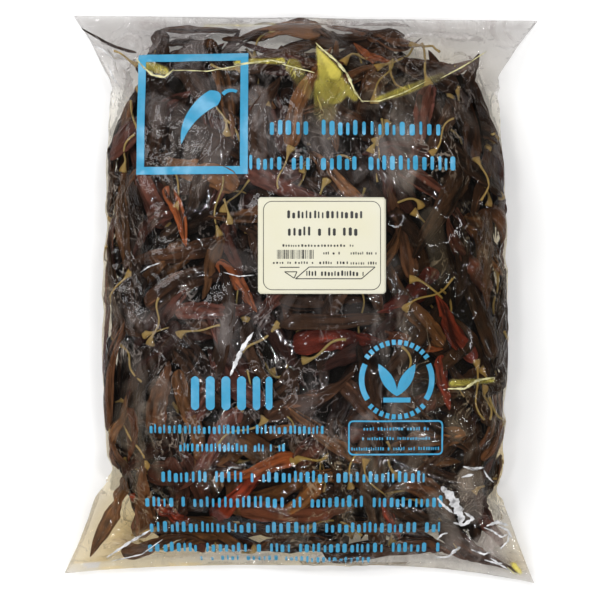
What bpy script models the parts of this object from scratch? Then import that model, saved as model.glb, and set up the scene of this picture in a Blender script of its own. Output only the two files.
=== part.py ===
"""A clear plastic bag of whole dried chillies with their stems, lying on its back with the printed side up.

The bag is one solid: a filled pillow with flat film ears at its corners, and the chillies that press against
the film stand out of it in relief. A paper label lies on the front.
X runs across the bag, Y from its bottom seam to its top seam, and Z up from the floor. Lengths are metres.
"""

import math
import random

import bmesh
import bpy
import numpy as np
from mathutils import Vector

MM = 0.001

# Film outline, seen from the front. The film is wider than the filled body, and leaves an ear at each corner.
CENTRE_X = 3.5 * MM
TOP_Y = 213 * MM
BOTTOM_Y = -201 * MM
TOP_RISE = {"left": 2 * MM, "right": -2 * MM}
BOTTOM_DROP = {"left": 6 * MM, "right": 14.9 * MM}
SEAM_HALF = 177 * MM
BODY_HALF = {"left": 146.5 * MM, "right": 145.5 * MM}
BODY_BULGE = 7 * MM
BULGE_REACH = 170 * MM
EAR_TOP_START = {"left": 160 * MM, "right": 170 * MM}
EAR_BOTTOM_START = {"left": -124 * MM, "right": -136 * MM}
EAR_TOP = {"left": 29 * MM, "right": 30 * MM}
EAR_BOTTOM = {"left": 36 * MM, "right": 28 * MM}
EAR_POWER = 1.1

# Filled body: its plan is a rounded rectangle, fuller at the bottom corners than at the top ones.
FILL_TOP = 204 * MM
FILL_BOTTOM = -195 * MM
PLAN_POWER_TOP = 5
PLAN_POWER_BOTTOM = 8

# Its height. It is thickest over a broad middle and thins to flat film at the seams.
THICKNESS = 80 * MM
MID_HEIGHT = 30 * MM
SEAM_HEIGHT = 11 * MM
EAR_DROOP = 5 * MM
EAR_DROOP_REACH = 40 * MM
FULLNESS_POWERS = (3, 1 / 1.5)
CROWN_POWER = 2.8
UNDERSIDE_POWER = 6
ROUNDNESS_MIDDLE = 2
ROUNDNESS_SEAM = 1.2
END_TAPER_START = 0.8
FLAP = 1.6 * MM

# The bag stands on three points of its underside, each given by its row and its place in the ring.
UNDERSIDE_HEIGHT = 1.1 * MM
RESTS = ((7, 23), (7, 31), (21, 27))

# Relief: the filling lies this far under the film between the chillies that touch it.
SINK_FRONT = 6 * MM
SINK_BACK = 2.5 * MM
FULL_SINK_THICKNESS = 26 * MM
SIDE_SINK_FADE = (0.6, 0.8)
RISE = 0.4 * MM

# Mesh of the filling. Its rows lie closer together near the seams, by this share of a cosine spread.
RING_POINTS = 36
ROWS = 28
ROW_CROWDING = 0.5
NORMAL_STEP_V = 0.01
TABLE_POINTS = 144
TABLE_ROWS = 90
NORMAL_STEP = 3 * MM
FRONT_EDGE_U = 0.25

# Label, stuck on the front.
LABEL_WIDTH = 94 * MM
LABEL_HEIGHT = 71 * MM
LABEL_X = 15.4 * MM
LABEL_Y = 39.6 * MM
LABEL_THICKNESS = 0.5 * MM
LABEL_GAP = 0.45 * MM
LABEL_MARGIN = 9 * MM
LABEL_GRID = (10, 8)

# Chillies. A pod tapers from its shoulder to its tip, and its stem runs on from the shoulder.
POD_SHARES = (0, 0.1, 0.42, 0.78, 1)
TAPER_POWERS = (1.9, 0.8)
STEM_STATIONS = 2
STEM_RADIUS = 1.5 * MM
CAP_RADIUS = 2.5 * MM
CAP_LENGTH = 5 * MM
TIP_SHARE = 0.14
SHOULDER_SHARE = 0.5
THINNEST_SHARE = 0.42
TUBE_RESOLUTION = 1
WELD = 0.01 * MM
END_CLEAR = 4 * MM
UNDER_LABEL = 2 * MM

# The chillies that show most from the front, one a line, in mm and degrees:
# shoulder x and y, heading from shoulder to tip, pod length, pod width, stem heading, stem length.
FRONT_CHILLIES = (
    (-102, 84, -68, 50, 13, 0, 0),
    (-94, -16, -126, 74, 21, 0, 0),
    (-115, -32, -100, 60, 18, 72, 36),
    (-63, 27, -50, 48, 15, 0, 0),
    (-43, 6, -58, 84, 19, 0, 0),
    (-53, 57, -80, 45, 17, 105, 18),
    (-61, 48, -105, 50, 15, 88, 44),
    (78, -6, -142, 84, 20, 36, 48),
    (103, 24, -144, 58, 19, 0, 0),
    (134, -42, 127, 60, 18, -80, 46),
    (105, -39, -80, 42, 14, 0, 0),
    (98, 111, 183, 55, 16, 50, 34),
    (52, 112, -75, 58, 17, 70, 28),
    (55, 151, -100, 62, 18, 69, 36),
    (68, 182, 152, 36, 12, -54, 30),
    (140, 112, 95, 60, 18, -92, 34),
    (-123, 126, -60, 66, 17, 116, 26),
    (-138, 97, -85, 70, 18, 60, 30),
    (-124, 176, -30, 50, 14, 145, 36),
    (-134, -80, -95, 42, 18, 0, 0),
    (-94, -100, -149, 60, 17, 0, 0),
    (-3, -120, 188, 66, 16, 10, 24),
    (-62, -184, 180, 48, 14, 0, 0),
    (156, -196, 160, 60, 16, 0, 0),
    (-138, -133, -105, 58, 18, 0, 0),
    (37, -142, -100, 50, 15, 80, 30),
    (63, -150, -80, 38, 11, 0, 0),
    (-128, 70, -88, 78, 21, 0, 0),
    (121, 76, -92, 80, 20, 0, 0),
    (142, 72, -88, 76, 18, 0, 0),
    (88, 40, 125, 62, 19, 0, 0),
)

# The rest are drawn at random: how many, then the ranges of u, of y and of the heading.
# Every other one has a stem.
FILLERS = (
    (21, (-0.2, 0.2), (-175 * MM, 180 * MM), (20, 160)),
    (4, (-0.28, -0.22), (-115 * MM, 140 * MM), (75, 105)),
    (4, (0.22, 0.28), (-115 * MM, 140 * MM), (75, 105)),
    (24, (0.3, 0.7), (-165 * MM, 170 * MM), (0, 180)),
)
POD_LENGTHS = (54 * MM, 78 * MM)
POD_WIDTHS = (14 * MM, 20 * MM)
STEM_LENGTHS = (24 * MM, 34 * MM)
STEM_TURNS = (-30, 30)
BENDS = (-22, 22)
POD_SPOTS = (0.1, 0.5, 0.9)
LAYOUT_SEED = 7
BEND_SEED = 8
DRAWS_PER_FILLER = 40

FILM_COLOUR = (0.16, 0.045, 0.03, 1)
FILM_ROUGHNESS = 0.25
PAPER_COLOUR = (0.86, 0.84, 0.74, 1)
PAPER_ROUGHNESS = 0.5


def clear_scene():
    for obj in list(bpy.data.objects):
        bpy.data.objects.remove(obj)


def ramp(value, start, end):
    """0 before start, 1 after end, and straight between."""
    return np.clip((value - start) / (end - start), 0, 1)


def smooth(share):
    return share * share * (3 - 2 * share)


def per_side(cosine, values):
    return np.where(cosine > 0, values["right"], values["left"])


def fill_share(y):
    """-1 at the filling's bottom end, 0 at its middle and 1 at its top end."""
    return np.clip((2 * y - FILL_TOP - FILL_BOTTOM) / (FILL_TOP - FILL_BOTTOM), -1, 1)


def body_half(y, cosine):
    """From the bag's middle to the filled body's straight side, which swells a little halfway up."""
    bulge = BODY_BULGE * np.clip(1 - (y / BULGE_REACH) ** 2, 0, 1)
    return per_side(cosine, BODY_HALF) + bulge


def film_half(y, cosine):
    """From the bag's middle to the film's edge: the body's half width, plus the ears near the seams."""
    top = ramp(y, per_side(cosine, EAR_TOP_START), TOP_Y)
    bottom = ramp(y, per_side(cosine, EAR_BOTTOM_START), BOTTOM_Y)
    ears = per_side(cosine, EAR_TOP) * top**EAR_POWER + per_side(cosine, EAR_BOTTOM) * bottom**EAR_POWER
    return body_half(y, cosine) + ears


def fill_half(y, cosine):
    """From the bag's middle to the edge of the filling, which is rounded off towards both seams."""
    share = fill_share(y)
    power = np.where(share > 0, PLAN_POWER_TOP, PLAN_POWER_BOTTOM)
    return body_half(y, cosine) * (1 - np.abs(share) ** power) ** (1 / power)


def bag_points(v, theta):
    """Points of the film. v runs from the bottom seam, 0, to the top seam, 1. theta runs round the section: 0
    at the right edge, a quarter turn at the middle of the front, a half turn at the left edge."""
    cosine, sine = np.cos(theta), np.sin(theta)
    row_y = BOTTOM_Y + v * (TOP_Y - BOTTOM_Y)
    x = film_half(row_y, cosine) * cosine
    corner = np.abs(x / SEAM_HALF)
    top_y = TOP_Y + per_side(cosine, TOP_RISE) * corner
    bottom_y = BOTTOM_Y - per_side(cosine, BOTTOM_DROP) * corner**3
    y = bottom_y + v * (top_y - bottom_y)

    along = fill_share(row_y)
    half = np.maximum(fill_half(row_y, cosine), 1e-6)
    across = np.clip(np.abs(x) / half, 0, 1)
    fullness = (1 - np.abs(along) ** FULLNESS_POWERS[0]) ** FULLNESS_POWERS[1]
    roundness = 1 / (ROUNDNESS_MIDDLE + (ROUNDNESS_SEAM - ROUNDNESS_MIDDLE) * along**4)
    middle = SEAM_HEIGHT + (MID_HEIGHT - SEAM_HEIGHT) * fullness
    lift = SEAM_HEIGHT * smooth(ramp(np.abs(along), END_TAPER_START, 1))
    droop = EAR_DROOP * ramp(np.abs(x) - half, 0, EAR_DROOP_REACH)
    flap = np.where(np.abs(sine) < 1e-6, 0, FLAP / 2)
    crown = (THICKNESS - MID_HEIGHT) * fullness * (1 - across**CROWN_POWER) ** roundness
    belly = np.maximum(middle - lift - FLAP / 2, 0) * (1 - across**UNDERSIDE_POWER) ** roundness
    z = middle - droop + np.where(sine >= 0, flap + crown, -flap - belly)
    return np.stack([CENTRE_X + x, y, z], axis=-1)


class Surface:
    """The film as a table of rings, read by u and y. u is the share of the way round from the middle of the
    front towards +X: about 0.25 at the right edge and 0.5 at the middle of the back."""

    def __init__(self):
        self.row_v = np.linspace(0, 1, TABLE_ROWS)
        self.row_y = BOTTOM_Y + self.row_v * (TOP_Y - BOTTOM_Y)
        theta = math.pi / 2 - np.linspace(0, 2 * math.pi, TABLE_POINTS + 1)
        self.rings = bag_points(self.row_v[:, None], theta[None, :])
        steps = np.linalg.norm(np.diff(self.rings, axis=1), axis=2)
        self.around = float(steps.sum(axis=1).mean())
        arcs = np.cumsum(steps, axis=1)
        start = np.zeros((len(arcs), 1))
        self.u = np.concatenate([start, arcs], axis=1) / arcs[:, -1:]

    def ring_point(self, row, u):
        return np.array([np.interp(u % 1, self.u[row], self.rings[row][:, k]) for k in range(3)])

    def point(self, u, y):
        place = float(np.clip(np.interp(y, self.row_y, np.arange(TABLE_ROWS)), 0, TABLE_ROWS - 1.001))
        row = int(place)
        return self.ring_point(row, u) * (1 - place + row) + self.ring_point(row + 1, u) * (place - row)

    def normal(self, u, y):
        step = NORMAL_STEP / self.around
        around = self.point(u + step, y) - self.point(u - step, y)
        along = self.point(u, y + NORMAL_STEP) - self.point(u, y - NORMAL_STEP)
        outward = np.cross(around, along)
        return outward / max(np.linalg.norm(outward), 1e-12)

    def front_u(self, x, y):
        """u of the front's point over a place in plan."""
        row = int(round(float(np.interp(y, self.row_y, np.arange(TABLE_ROWS)))))
        quarter = TABLE_POINTS // 4
        right = np.arange(quarter + 1)
        left = np.arange(TABLE_POINTS - quarter, TABLE_POINTS)
        xs = np.concatenate([self.rings[row][left, 0], self.rings[row][right, 0]])
        us = np.concatenate([self.u[row][left] - 1, self.u[row][right]])
        return float(np.interp(x, xs, us))

    def thickness(self, u, y):
        """Height between front and back at a place on the front, and the bag's thickness anywhere else."""
        if abs(u) > FRONT_EDGE_U:
            return THICKNESS
        return float(self.point(u, y)[2] - self.point(2 * FRONT_EDGE_U - u, y)[2])


def on_label(point, margin):
    """1 on the label's rectangle, falling to 0 at the margin's outer edge."""
    out = max(
        abs(point[0] - LABEL_X) - LABEL_WIDTH / 2,
        abs(point[1] - LABEL_Y) - LABEL_HEIGHT / 2,
        0,
    )
    return 1 - min(out / margin, 1)


def sink_at(point, place, thickness):
    """How far the filling lies under the film, between the chillies. It is nothing under the label. At the
    bag's two side edges it fades out where the flat ears begin."""
    half_turn = RING_POINTS // 2
    if place % half_turn == 0:
        return SINK_BACK * (1 - smooth(float(ramp(abs(fill_share(point[1])), *SIDE_SINK_FADE))))
    share = min(abs(thickness) / FULL_SINK_THICKNESS, 1)
    if place > half_turn:
        return SINK_BACK * share
    return SINK_FRONT * share * (1 - on_label(point, LABEL_MARGIN))


def filling_ring(v, theta):
    """One section of the filling: the film's own section, moved inwards."""
    points = bag_points(v, theta)
    opposite = -np.arange(RING_POINTS) % RING_POINTS
    thickness = points[:, 2] - points[opposite, 2]
    before, after = bag_points(max(v - NORMAL_STEP_V, 0), theta), bag_points(min(v + NORMAL_STEP_V, 1), theta)
    outward = np.cross(np.roll(points, -1, axis=0) - np.roll(points, 1, axis=0), before - after)
    outward /= np.maximum(np.linalg.norm(outward, axis=1, keepdims=True), 1e-12)
    depth = [sink_at(point, place, thickness[place]) for place, point in enumerate(points)]
    points -= outward * np.array(depth)[:, None]
    points[:, 2] = np.maximum(points[:, 2], UNDERSIDE_HEIGHT)
    return points


def filling():
    """The pillow itself: a loft of sections that are flat at the seams and full in the middle."""
    spread = np.linspace(0, 1, ROWS + 1)
    rows_v = (1 - ROW_CROWDING) * spread + ROW_CROWDING * (1 - np.cos(math.pi * spread)) / 2
    theta = np.linspace(0, 2 * math.pi, RING_POINTS, endpoint=False)
    ring_points = np.array([filling_ring(v, theta) for v in rows_v])
    for row, place in RESTS:
        ring_points[row, place, 2] = 0
    bm = bmesh.new()
    rings = [[bm.verts.new(point) for point in points] for points in ring_points]
    for lower, upper in zip(rings, rings[1:]):
        for k in range(RING_POINTS):
            j = (k + 1) % RING_POINTS
            bm.faces.new((lower[k], lower[j], upper[j], upper[k]))
    for ring in (rings[0], rings[-1]):
        for k in range(RING_POINTS // 2):
            quad = (ring[k], ring[k + 1], ring[-k - 1], ring[-k] if k else ring[0])
            bm.faces.new(list(dict.fromkeys(quad)))
    bmesh.ops.recalc_face_normals(bm, faces=bm.faces)
    mesh = bpy.data.meshes.new("bag_of_dried_chillies")
    bm.to_mesh(mesh)
    bm.free()
    return mesh


def pod_radius(t, width):
    """Half the pod's width at share t of its length: a short shoulder, then a long taper to a blunt tip."""
    shoulder = SHOULDER_SHARE + (1 - SHOULDER_SHARE) * min(t / POD_SHARES[1], 1)
    return width / 2 * max(shoulder * (1 - t ** TAPER_POWERS[0]) ** TAPER_POWERS[1], TIP_SHARE)


def chilli_path(surface, chilli, bend):
    """Centre points and radii of one chilli, from the end of its stem to its tip, lying under the film."""
    u0, y0, heading, length, width, stem_heading, stem_length = chilli
    stations = []
    for k in range(STEM_STATIONS if stem_length else 0):
        share = 1 - k / STEM_STATIONS
        angle = math.radians(stem_heading + bend / 2 * share)
        away = stem_length * share
        stations.append((away * math.cos(angle), away * math.sin(angle), STEM_RADIUS))
    if stem_length:
        angle = math.radians(stem_heading)
        stations.append((CAP_LENGTH * math.cos(angle), CAP_LENGTH * math.sin(angle), CAP_RADIUS))
    for t in POD_SHARES:
        angle = math.radians(heading + bend * (t - 0.5))
        stations.append((length * t * math.cos(angle), length * t * math.sin(angle), pod_radius(t, width)))
    points, radii = [], []
    for s, dy, radius in stations:
        u, y = u0 + s / surface.around, y0 + dy
        y = min(max(y, BOTTOM_Y + END_CLEAR), TOP_Y - END_CLEAR)
        here = surface.point(u, y)
        radius = min(radius, max(THINNEST_SHARE * abs(surface.thickness(u, y)), STEM_RADIUS))
        rise = -UNDER_LABEL if on_label(here, LABEL_MARGIN) and abs(u) < FRONT_EDGE_U else RISE
        centre = here + surface.normal(u, y) * (rise - radius)
        centre[2] = max(centre[2], radius + UNDERSIDE_HEIGHT)
        points.append(centre)
        radii.append(radius)
    return points, radii


def chilli_mesh(name, points, radii, collection):
    """A tube along the points, as thick at each as its radius, made a closed mesh for the union."""
    curve = bpy.data.curves.new(name, "CURVE")
    curve.dimensions = "3D"
    curve.bevel_depth = MM
    curve.bevel_resolution = TUBE_RESOLUTION
    curve.use_fill_caps = True
    spline = curve.splines.new("POLY")
    spline.points.add(len(points) - 1)
    for spline_point, point, radius in zip(spline.points, points, radii):
        spline_point.co = (*point, 1)
        spline_point.radius = radius / MM
    tube = bpy.data.objects.new(name + "_curve", curve)
    bpy.context.scene.collection.objects.link(tube)
    evaluated = tube.evaluated_get(bpy.context.evaluated_depsgraph_get())
    mesh = bpy.data.meshes.new_from_object(evaluated)
    bm = bmesh.new()
    bm.from_mesh(mesh)
    bmesh.ops.remove_doubles(bm, verts=bm.verts, dist=WELD)
    bmesh.ops.recalc_face_normals(bm, faces=bm.faces)
    bm.to_mesh(mesh)
    bm.free()
    collection.objects.link(bpy.data.objects.new(name, mesh))
    bpy.data.objects.remove(tube)


def front_layout(surface):
    """The named chillies, with u in place of x."""
    chillies = []
    for x, y, heading, length, width, stem_heading, stem_length in FRONT_CHILLIES:
        u = surface.front_u(x * MM, y * MM)
        chillies.append((u, y * MM, heading, length * MM, width * MM, stem_heading, stem_length * MM))
    return chillies


def spots_on(chilli, surface):
    """Three points along a pod, in u and y, which other pods keep away from."""
    u, y, heading, length = chilli[:4]
    angle = math.radians(heading)
    away = [share * length for share in POD_SPOTS]
    return [(u + d * math.cos(angle) / surface.around, y + d * math.sin(angle)) for d in away]


def room_at(chilli, taken, surface):
    """How near this pod comes to the ones already laid."""
    near = [
        math.hypot((u - a) * surface.around, y - b)
        for u, y in spots_on(chilli, surface)
        for a, b in taken
    ]
    return min(near, default=1)


def drawn_chilli(surface, draw, u_range, y_range, heading_range, has_stem):
    """One chilli at a random place in the ranges, or None where the label lies."""
    u, y = draw.uniform(*u_range), draw.uniform(*y_range)
    heading = draw.uniform(*heading_range) + draw.choice((0, 180))
    length, width = draw.uniform(*POD_LENGTHS), draw.uniform(*POD_WIDTHS)
    stem_turn, stem = draw.uniform(*STEM_TURNS), draw.uniform(*STEM_LENGTHS) if has_stem else 0
    if abs(u) < FRONT_EDGE_U and on_label(surface.point(u, y), 2 * LABEL_MARGIN):
        return None
    angle = math.radians(heading)
    shoulder_u = u - length / 2 * math.cos(angle) / surface.around
    shoulder_y = y - length / 2 * math.sin(angle)
    return (shoulder_u, shoulder_y, heading, length, width, heading + 180 + stem_turn, stem)


def fillers(surface, draw, count, u_range, y_range, heading_range, taken):
    """More chillies where there is most room: each is the roomiest of several that a seeded rule draws."""
    chillies = []
    for k in range(count):
        drawn = [
            drawn_chilli(surface, draw, u_range, y_range, heading_range, k % 2)
            for _ in range(DRAWS_PER_FILLER)
        ]
        best = max(filter(None, drawn), key=lambda chilli: room_at(chilli, taken, surface))
        chillies.append(best)
        taken += spots_on(best, surface)
    return chillies


def all_chillies(surface):
    """The named chillies and the drawn ones, on the front, at both sides and on the back."""
    draw = random.Random(LAYOUT_SEED)
    chillies = front_layout(surface)
    taken = [spot for chilli in chillies for spot in spots_on(chilli, surface)]
    for count, u_range, y_range, heading_range in FILLERS:
        chillies += fillers(surface, draw, count, u_range, y_range, heading_range, taken)
    return chillies


def largest_shell(mesh):
    """Keeps the outer surface, and drops loose scraps and the walls of hollows that the fusing sealed."""
    bm = bmesh.new()
    bm.from_mesh(mesh)
    unseen = set(bm.verts)
    shells = []
    while unseen:
        edge_of_shell = [unseen.pop()]
        shell = set(edge_of_shell)
        while edge_of_shell:
            vert = edge_of_shell.pop()
            for edge in vert.link_edges:
                other = edge.other_vert(vert)
                if other in unseen:
                    unseen.discard(other)
                    shell.add(other)
                    edge_of_shell.append(other)
        shells.append(shell)
    largest = max(shells, key=len)
    bmesh.ops.delete(bm, geom=[v for v in bm.verts if v not in largest], context="VERTS")
    bm.to_mesh(mesh)
    bm.free()


def bag_object(surface):
    """The filling with every chilli fused onto it, as one solid."""
    bag = bpy.data.objects.new("bag_of_dried_chillies", filling())
    parts = bpy.data.collections["dried_chilli_bag"]
    parts.objects.link(bag)
    chillies = bpy.data.collections.new("chillies_to_fuse")
    bpy.context.scene.collection.children.link(chillies)
    draw = random.Random(BEND_SEED)
    for k, chilli in enumerate(all_chillies(surface)):
        points, radii = chilli_path(surface, chilli, draw.uniform(*BENDS))
        chilli_mesh(f"chilli_{k:02d}", points, radii, chillies)
    union = bag.modifiers.new("fuse_chillies", "BOOLEAN")
    union.operation = "UNION"
    union.operand_type = "COLLECTION"
    union.collection = chillies
    union.solver = "MANIFOLD"
    fused = bpy.data.meshes.new_from_object(bag.evaluated_get(bpy.context.evaluated_depsgraph_get()))
    bag.modifiers.remove(union)
    largest_shell(fused)
    bag.data = fused
    for obj in list(chillies.objects):
        bpy.data.objects.remove(obj)
    bpy.data.collections.remove(chillies)
    return bag


def label_object(surface):
    """The paper label: a thin sheet that follows the front of the bag."""
    bm = bmesh.new()
    bmesh.ops.create_grid(bm, x_segments=LABEL_GRID[0], y_segments=LABEL_GRID[1], size=0.5)
    for vert in bm.verts:
        x = LABEL_X + vert.co.x * LABEL_WIDTH
        y = LABEL_Y + vert.co.y * LABEL_HEIGHT
        height = surface.point(surface.front_u(x, y), y)[2]
        vert.co = Vector((x, y, height + LABEL_GAP))
    mesh = bpy.data.meshes.new("label")
    bm.to_mesh(mesh)
    bm.free()
    label = bpy.data.objects.new("label", mesh)
    bpy.data.collections["dried_chilli_bag"].objects.link(label)
    paper = label.modifiers.new("paper", "SOLIDIFY")
    paper.thickness = LABEL_THICKNESS
    paper.offset = 1
    return label


def finish(obj, name, colour, roughness):
    material = bpy.data.materials.new(name)
    material.use_nodes = True
    shader = material.node_tree.nodes["Principled BSDF"]
    shader.inputs["Base Color"].default_value = colour
    shader.inputs["Roughness"].default_value = roughness
    shader.inputs["Metallic"].default_value = 0
    obj.data.materials.clear()
    obj.data.materials.append(material)


def main():
    clear_scene()
    parts = bpy.data.collections.new("dried_chilli_bag")
    bpy.context.scene.collection.children.link(parts)
    surface = Surface()
    finish(bag_object(surface), "film_over_chillies", FILM_COLOUR, FILM_ROUGHNESS)
    finish(label_object(surface), "label_paper", PAPER_COLOUR, PAPER_ROUGHNESS)


main()
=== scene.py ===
"""The looks of a clear plastic bag of whole dried chillies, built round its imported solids.

A pile of single chillies is settled under the film, the film is then drawn tight over the pile, and the print
and the label are laid on the film. Lengths are metres, in the frame of the solids.
"""

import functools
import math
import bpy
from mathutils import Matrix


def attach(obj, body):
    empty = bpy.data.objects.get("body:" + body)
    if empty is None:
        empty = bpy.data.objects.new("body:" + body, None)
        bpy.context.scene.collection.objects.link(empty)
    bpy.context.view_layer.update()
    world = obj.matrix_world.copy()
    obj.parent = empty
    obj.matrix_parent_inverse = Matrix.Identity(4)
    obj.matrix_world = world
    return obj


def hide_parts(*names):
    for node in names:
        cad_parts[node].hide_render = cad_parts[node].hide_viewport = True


bl_info = {
    "name": "Bag of Dried Chillies",
    "version": (1, 0, 0),
    "blender": (4, 5, 0),
    "location": "View3D > Sidebar > Chilli Bag",
    "description": "Builds the chillies, film, print and label of a clear bag round its packed solids",
    "category": "Add Mesh",
}

import bpy
import numpy as np
from mathutils import Vector

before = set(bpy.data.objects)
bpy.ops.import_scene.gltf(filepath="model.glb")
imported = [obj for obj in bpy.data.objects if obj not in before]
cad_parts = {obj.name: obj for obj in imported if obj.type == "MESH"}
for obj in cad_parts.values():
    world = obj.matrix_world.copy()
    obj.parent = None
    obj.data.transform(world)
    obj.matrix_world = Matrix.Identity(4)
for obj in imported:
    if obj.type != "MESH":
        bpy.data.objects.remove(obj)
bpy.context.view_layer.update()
BAG_NODE = "bag_of_dried_chillies"
LABEL_NODE = "label"
BODY = "root"

MM = 0.001
TAU = 2 * math.pi

# The film's outline and the filled body, as the solids have them.
CENTRE_X = 3.5 * MM
TOP_Y = 213 * MM
BOTTOM_Y = -201 * MM
TOP_RISE = {"left": 2 * MM, "right": -2 * MM}
BOTTOM_DROP = {"left": 6 * MM, "right": 14.9 * MM}
SEAM_HALF = 177 * MM
BODY_HALF = {"left": 146.5 * MM, "right": 145.5 * MM}
BODY_BULGE = 7 * MM
BULGE_REACH = 170 * MM
EAR_TOP_START = {"left": 160 * MM, "right": 170 * MM}
EAR_BOTTOM_START = {"left": -124 * MM, "right": -136 * MM}
EAR_TOP = {"left": 29 * MM, "right": 30 * MM}
EAR_BOTTOM = {"left": 36 * MM, "right": 28 * MM}
FILL_TOP = 204 * MM
FILL_BOTTOM = -195 * MM
PLAN_POWER_TOP = 5
PLAN_POWER_BOTTOM = 8
THICKNESS = 80 * MM
MID_HEIGHT = 30 * MM
SEAM_HEIGHT = 11 * MM
EAR_DROOP = 5 * MM
EAR_DROOP_REACH = 40 * MM
CROWN_POWER = 2.8
UNDERSIDE_POWER = 6
END_TAPER_START = 0.8
FLAP = 0.6 * MM

# The chart of the film: u is the share of the way round from the middle of the front, y runs up the bag.
CHART_COLUMNS = 352
CHART_ROWS = 216
RING_POINTS = 721
FRONT_EDGE_U = 0.25
FRONT_LIMIT = 0.249

# The pile under the film. Chillies are dropped at random first, and then where the pile is lowest.
CORE_DEPTH = 17 * MM
CORE_SHARE = 0.42
CORE_INSET = 15 * MM
CORE_END_INSET = 24 * MM
PILE_CLEAR = 0.8 * MM
LEAST_ROOM = 2 * MM
SETTLE_STATIONS = 14
SETTLE_LANES = 5
MOST_SUNK = 2.4 * MM
DROPS = 2200
TOP_UPS = 640
TOP_UP_HEADINGS = 12
MEAN_LENGTH = 76 * MM
TOP_UP_SQUEEZE = 4.5 * MM
WANTED_DEPTH = 5 * MM
BARE_DEPTH = 7 * MM
BACK_SKIP = 0.45
END_CLEAR = 4 * MM
END_SHARE = 0.86
END_SPREAD = 24
SIDE_SPREAD = 62
EDGE_EAR = 3 * MM
EDGE_MARGIN = 3 * MM
END_REACH = 5
PILE_SEED = 11

# How a chilli is laid: past BACK_U it lies on the back, where fewer are needed. Its strip is read in lanes
# that reach LANE_REACH of its half width, and its back is raised over finer steps and lanes. Room is kept
# for the named ones, and a stem that doesn't fit is tried again at shorter lengths.
BACK_U = 0.29
LANE_REACH = 0.9
DOME_LANES = 17
DOME_STEPS = 5
RESERVE_STATIONS = 30
RESERVE_LANES = 9
RESERVE_DEPTH = 0.85
STEM_TRIES = (1, 0.75, 0.5)
STEM_CLEAR = 0.4 * MM

# Sizes of the chillies that are dropped at random: the share that shows a stem, and least and most in mm.
STEM_SHARE = 0.38
POD_LENGTHS = (58, 96)
POD_WIDTHS = (16, 26)
STEM_LENGTHS = (24, 46)
THICKEST = 7.5 * MM

# The chillies that show most from the front, one a line, in mm and degrees:
# shoulder x and y, heading from shoulder to tip, pod length, pod width and kind, then the heading and length
# of the stem where it shows.
FRONT_CHILLIES = (
    (-102, 84, -68, 50, 13, "orange"),
    (-115, -32, -100, 60, 18, "dark", 72, 36),
    (-94, -16, -126, 74, 23, "maroon"),
    (-43, 6, -58, 84, 19, "maroon"),
    (-63, 27, -50, 48, 15, "orange"),
    (-53, 57, -80, 45, 17, "maroon", 105, 18),
    (-61, 48, -105, 50, 15, "brown", 88, 44),
    (103, 24, -144, 58, 21, "red"),
    (78, -6, -142, 86, 22, "maroon", 36, 48),
    (134, -42, 127, 60, 18, "red", -80, 46),
    (105, -39, -80, 42, 14, "red"),
    (98, 111, 183, 55, 16, "maroon", 50, 34),
    (52, 112, -75, 58, 17, "maroon", 70, 28),
    (55, 151, -100, 62, 18, "dark", 69, 36),
    (68, 182, 152, 36, 12, "orange", -54, 30),
    (134, 108, 96, 58, 18, "umber", -92, 34),
    (-123, 126, -60, 66, 17, "dark", 116, 26),
    (-138, 97, -85, 70, 18, "brown", 60, 30),
    (-124, 176, -30, 50, 14, "dark", 145, 36),
    (-134, -80, -95, 42, 18, "orange"),
    (-94, -100, -149, 60, 17, "maroon"),
    (-3, -120, 188, 66, 16, "orange", 10, 24),
    (-62, -184, 180, 48, 14, "brown"),
    (106, -174, -24, 56, 22, "umber"),
    (-138, -133, -95, 58, 18, "brown"),
    (37, -142, -100, 50, 15, "dark", 80, 30),
    (63, -150, -80, 38, 11, "red"),
    (-128, 70, -88, 78, 21, "dark"),
    (121, 76, -92, 80, 20, "dark"),
    (142, 72, -88, 76, 18, "umber"),
    (88, 40, 125, 62, 19, "dark"),
    (-136, -188, -4, 72, 18, "umber"),
    (-44, -192, 178, 58, 17, "brown"),
    (-34, -191, 1, 60, 16, "umber", 196, 22),
    (70, -191, 177, 60, 16, "dark"),
    (72, -188, -5, 52, 17, "umber"),
    (-60, 200, 4, 62, 15, "dark"),
    (84, 197, 172, 66, 16, "umber", -20, 26),
    (136, 144, 97, 44, 16, "dark"),
    (98, 184, -5, 44, 16, "umber"),
    (-112, -176, 3, 84, 20, "brown", 178, 18),
    (-64, 198, 195, 54, 18, "umber"),
    (-122, 160, 60, 40, 17, "dark"),
    (24, 201, 177, 52, 15, "umber"),
    (-46, 203, 180, 60, 17, "umber"),
    (-107, 203, 260, 42, 16, "dark"),
    (-60, 194, 183, 52, 17, "dark"),
    (112, -156, -18, 46, 19, "dark"),
    (54, 203, 178, 50, 15, "dark"),
    (20, 160, -84, 50, 18, "brown"),
    (-90, 187, 12, 60, 18, "dark"),
    (-124, 185, 149, 40, 3.6, "dark"),
    (74, 195, 18, 18, 3.4, "dark"),
    (137, -143, -78, 38, 18, "maroon"),
)

# The kinds of pod, from dark to pale, and the share of each anywhere, on the right side, where more dark
# pods paint shade, and low in the bag. PALE_SKIN is how much paler than its own colour a pod's palest skin
# is.
PALE_SKIN = 2.15
KINDS = ("dark", "umber", "maroon", "brown", "red", "orange")
KIND_SHARES = (0.38, 0.22, 0.25, 0.135, 0.01, 0.005)
DARK_SIDE_SHARES = (0.56, 0.24, 0.14, 0.06, 0.0, 0.0)
DARK_SIDE_X = 84 * MM
LOW_SHARES = (0.14, 0.26, 0.24, 0.34, 0.015, 0.005)
LOW_Y = -64 * MM

# How much deeper a pod's folds are on its flat faces than at its edges.
RELIEF = 1.7

# Pods deeper than this under the film are in the dark.
SHADE_START = 4 * MM
SHADE_DEPTH = 11 * MM

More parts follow.
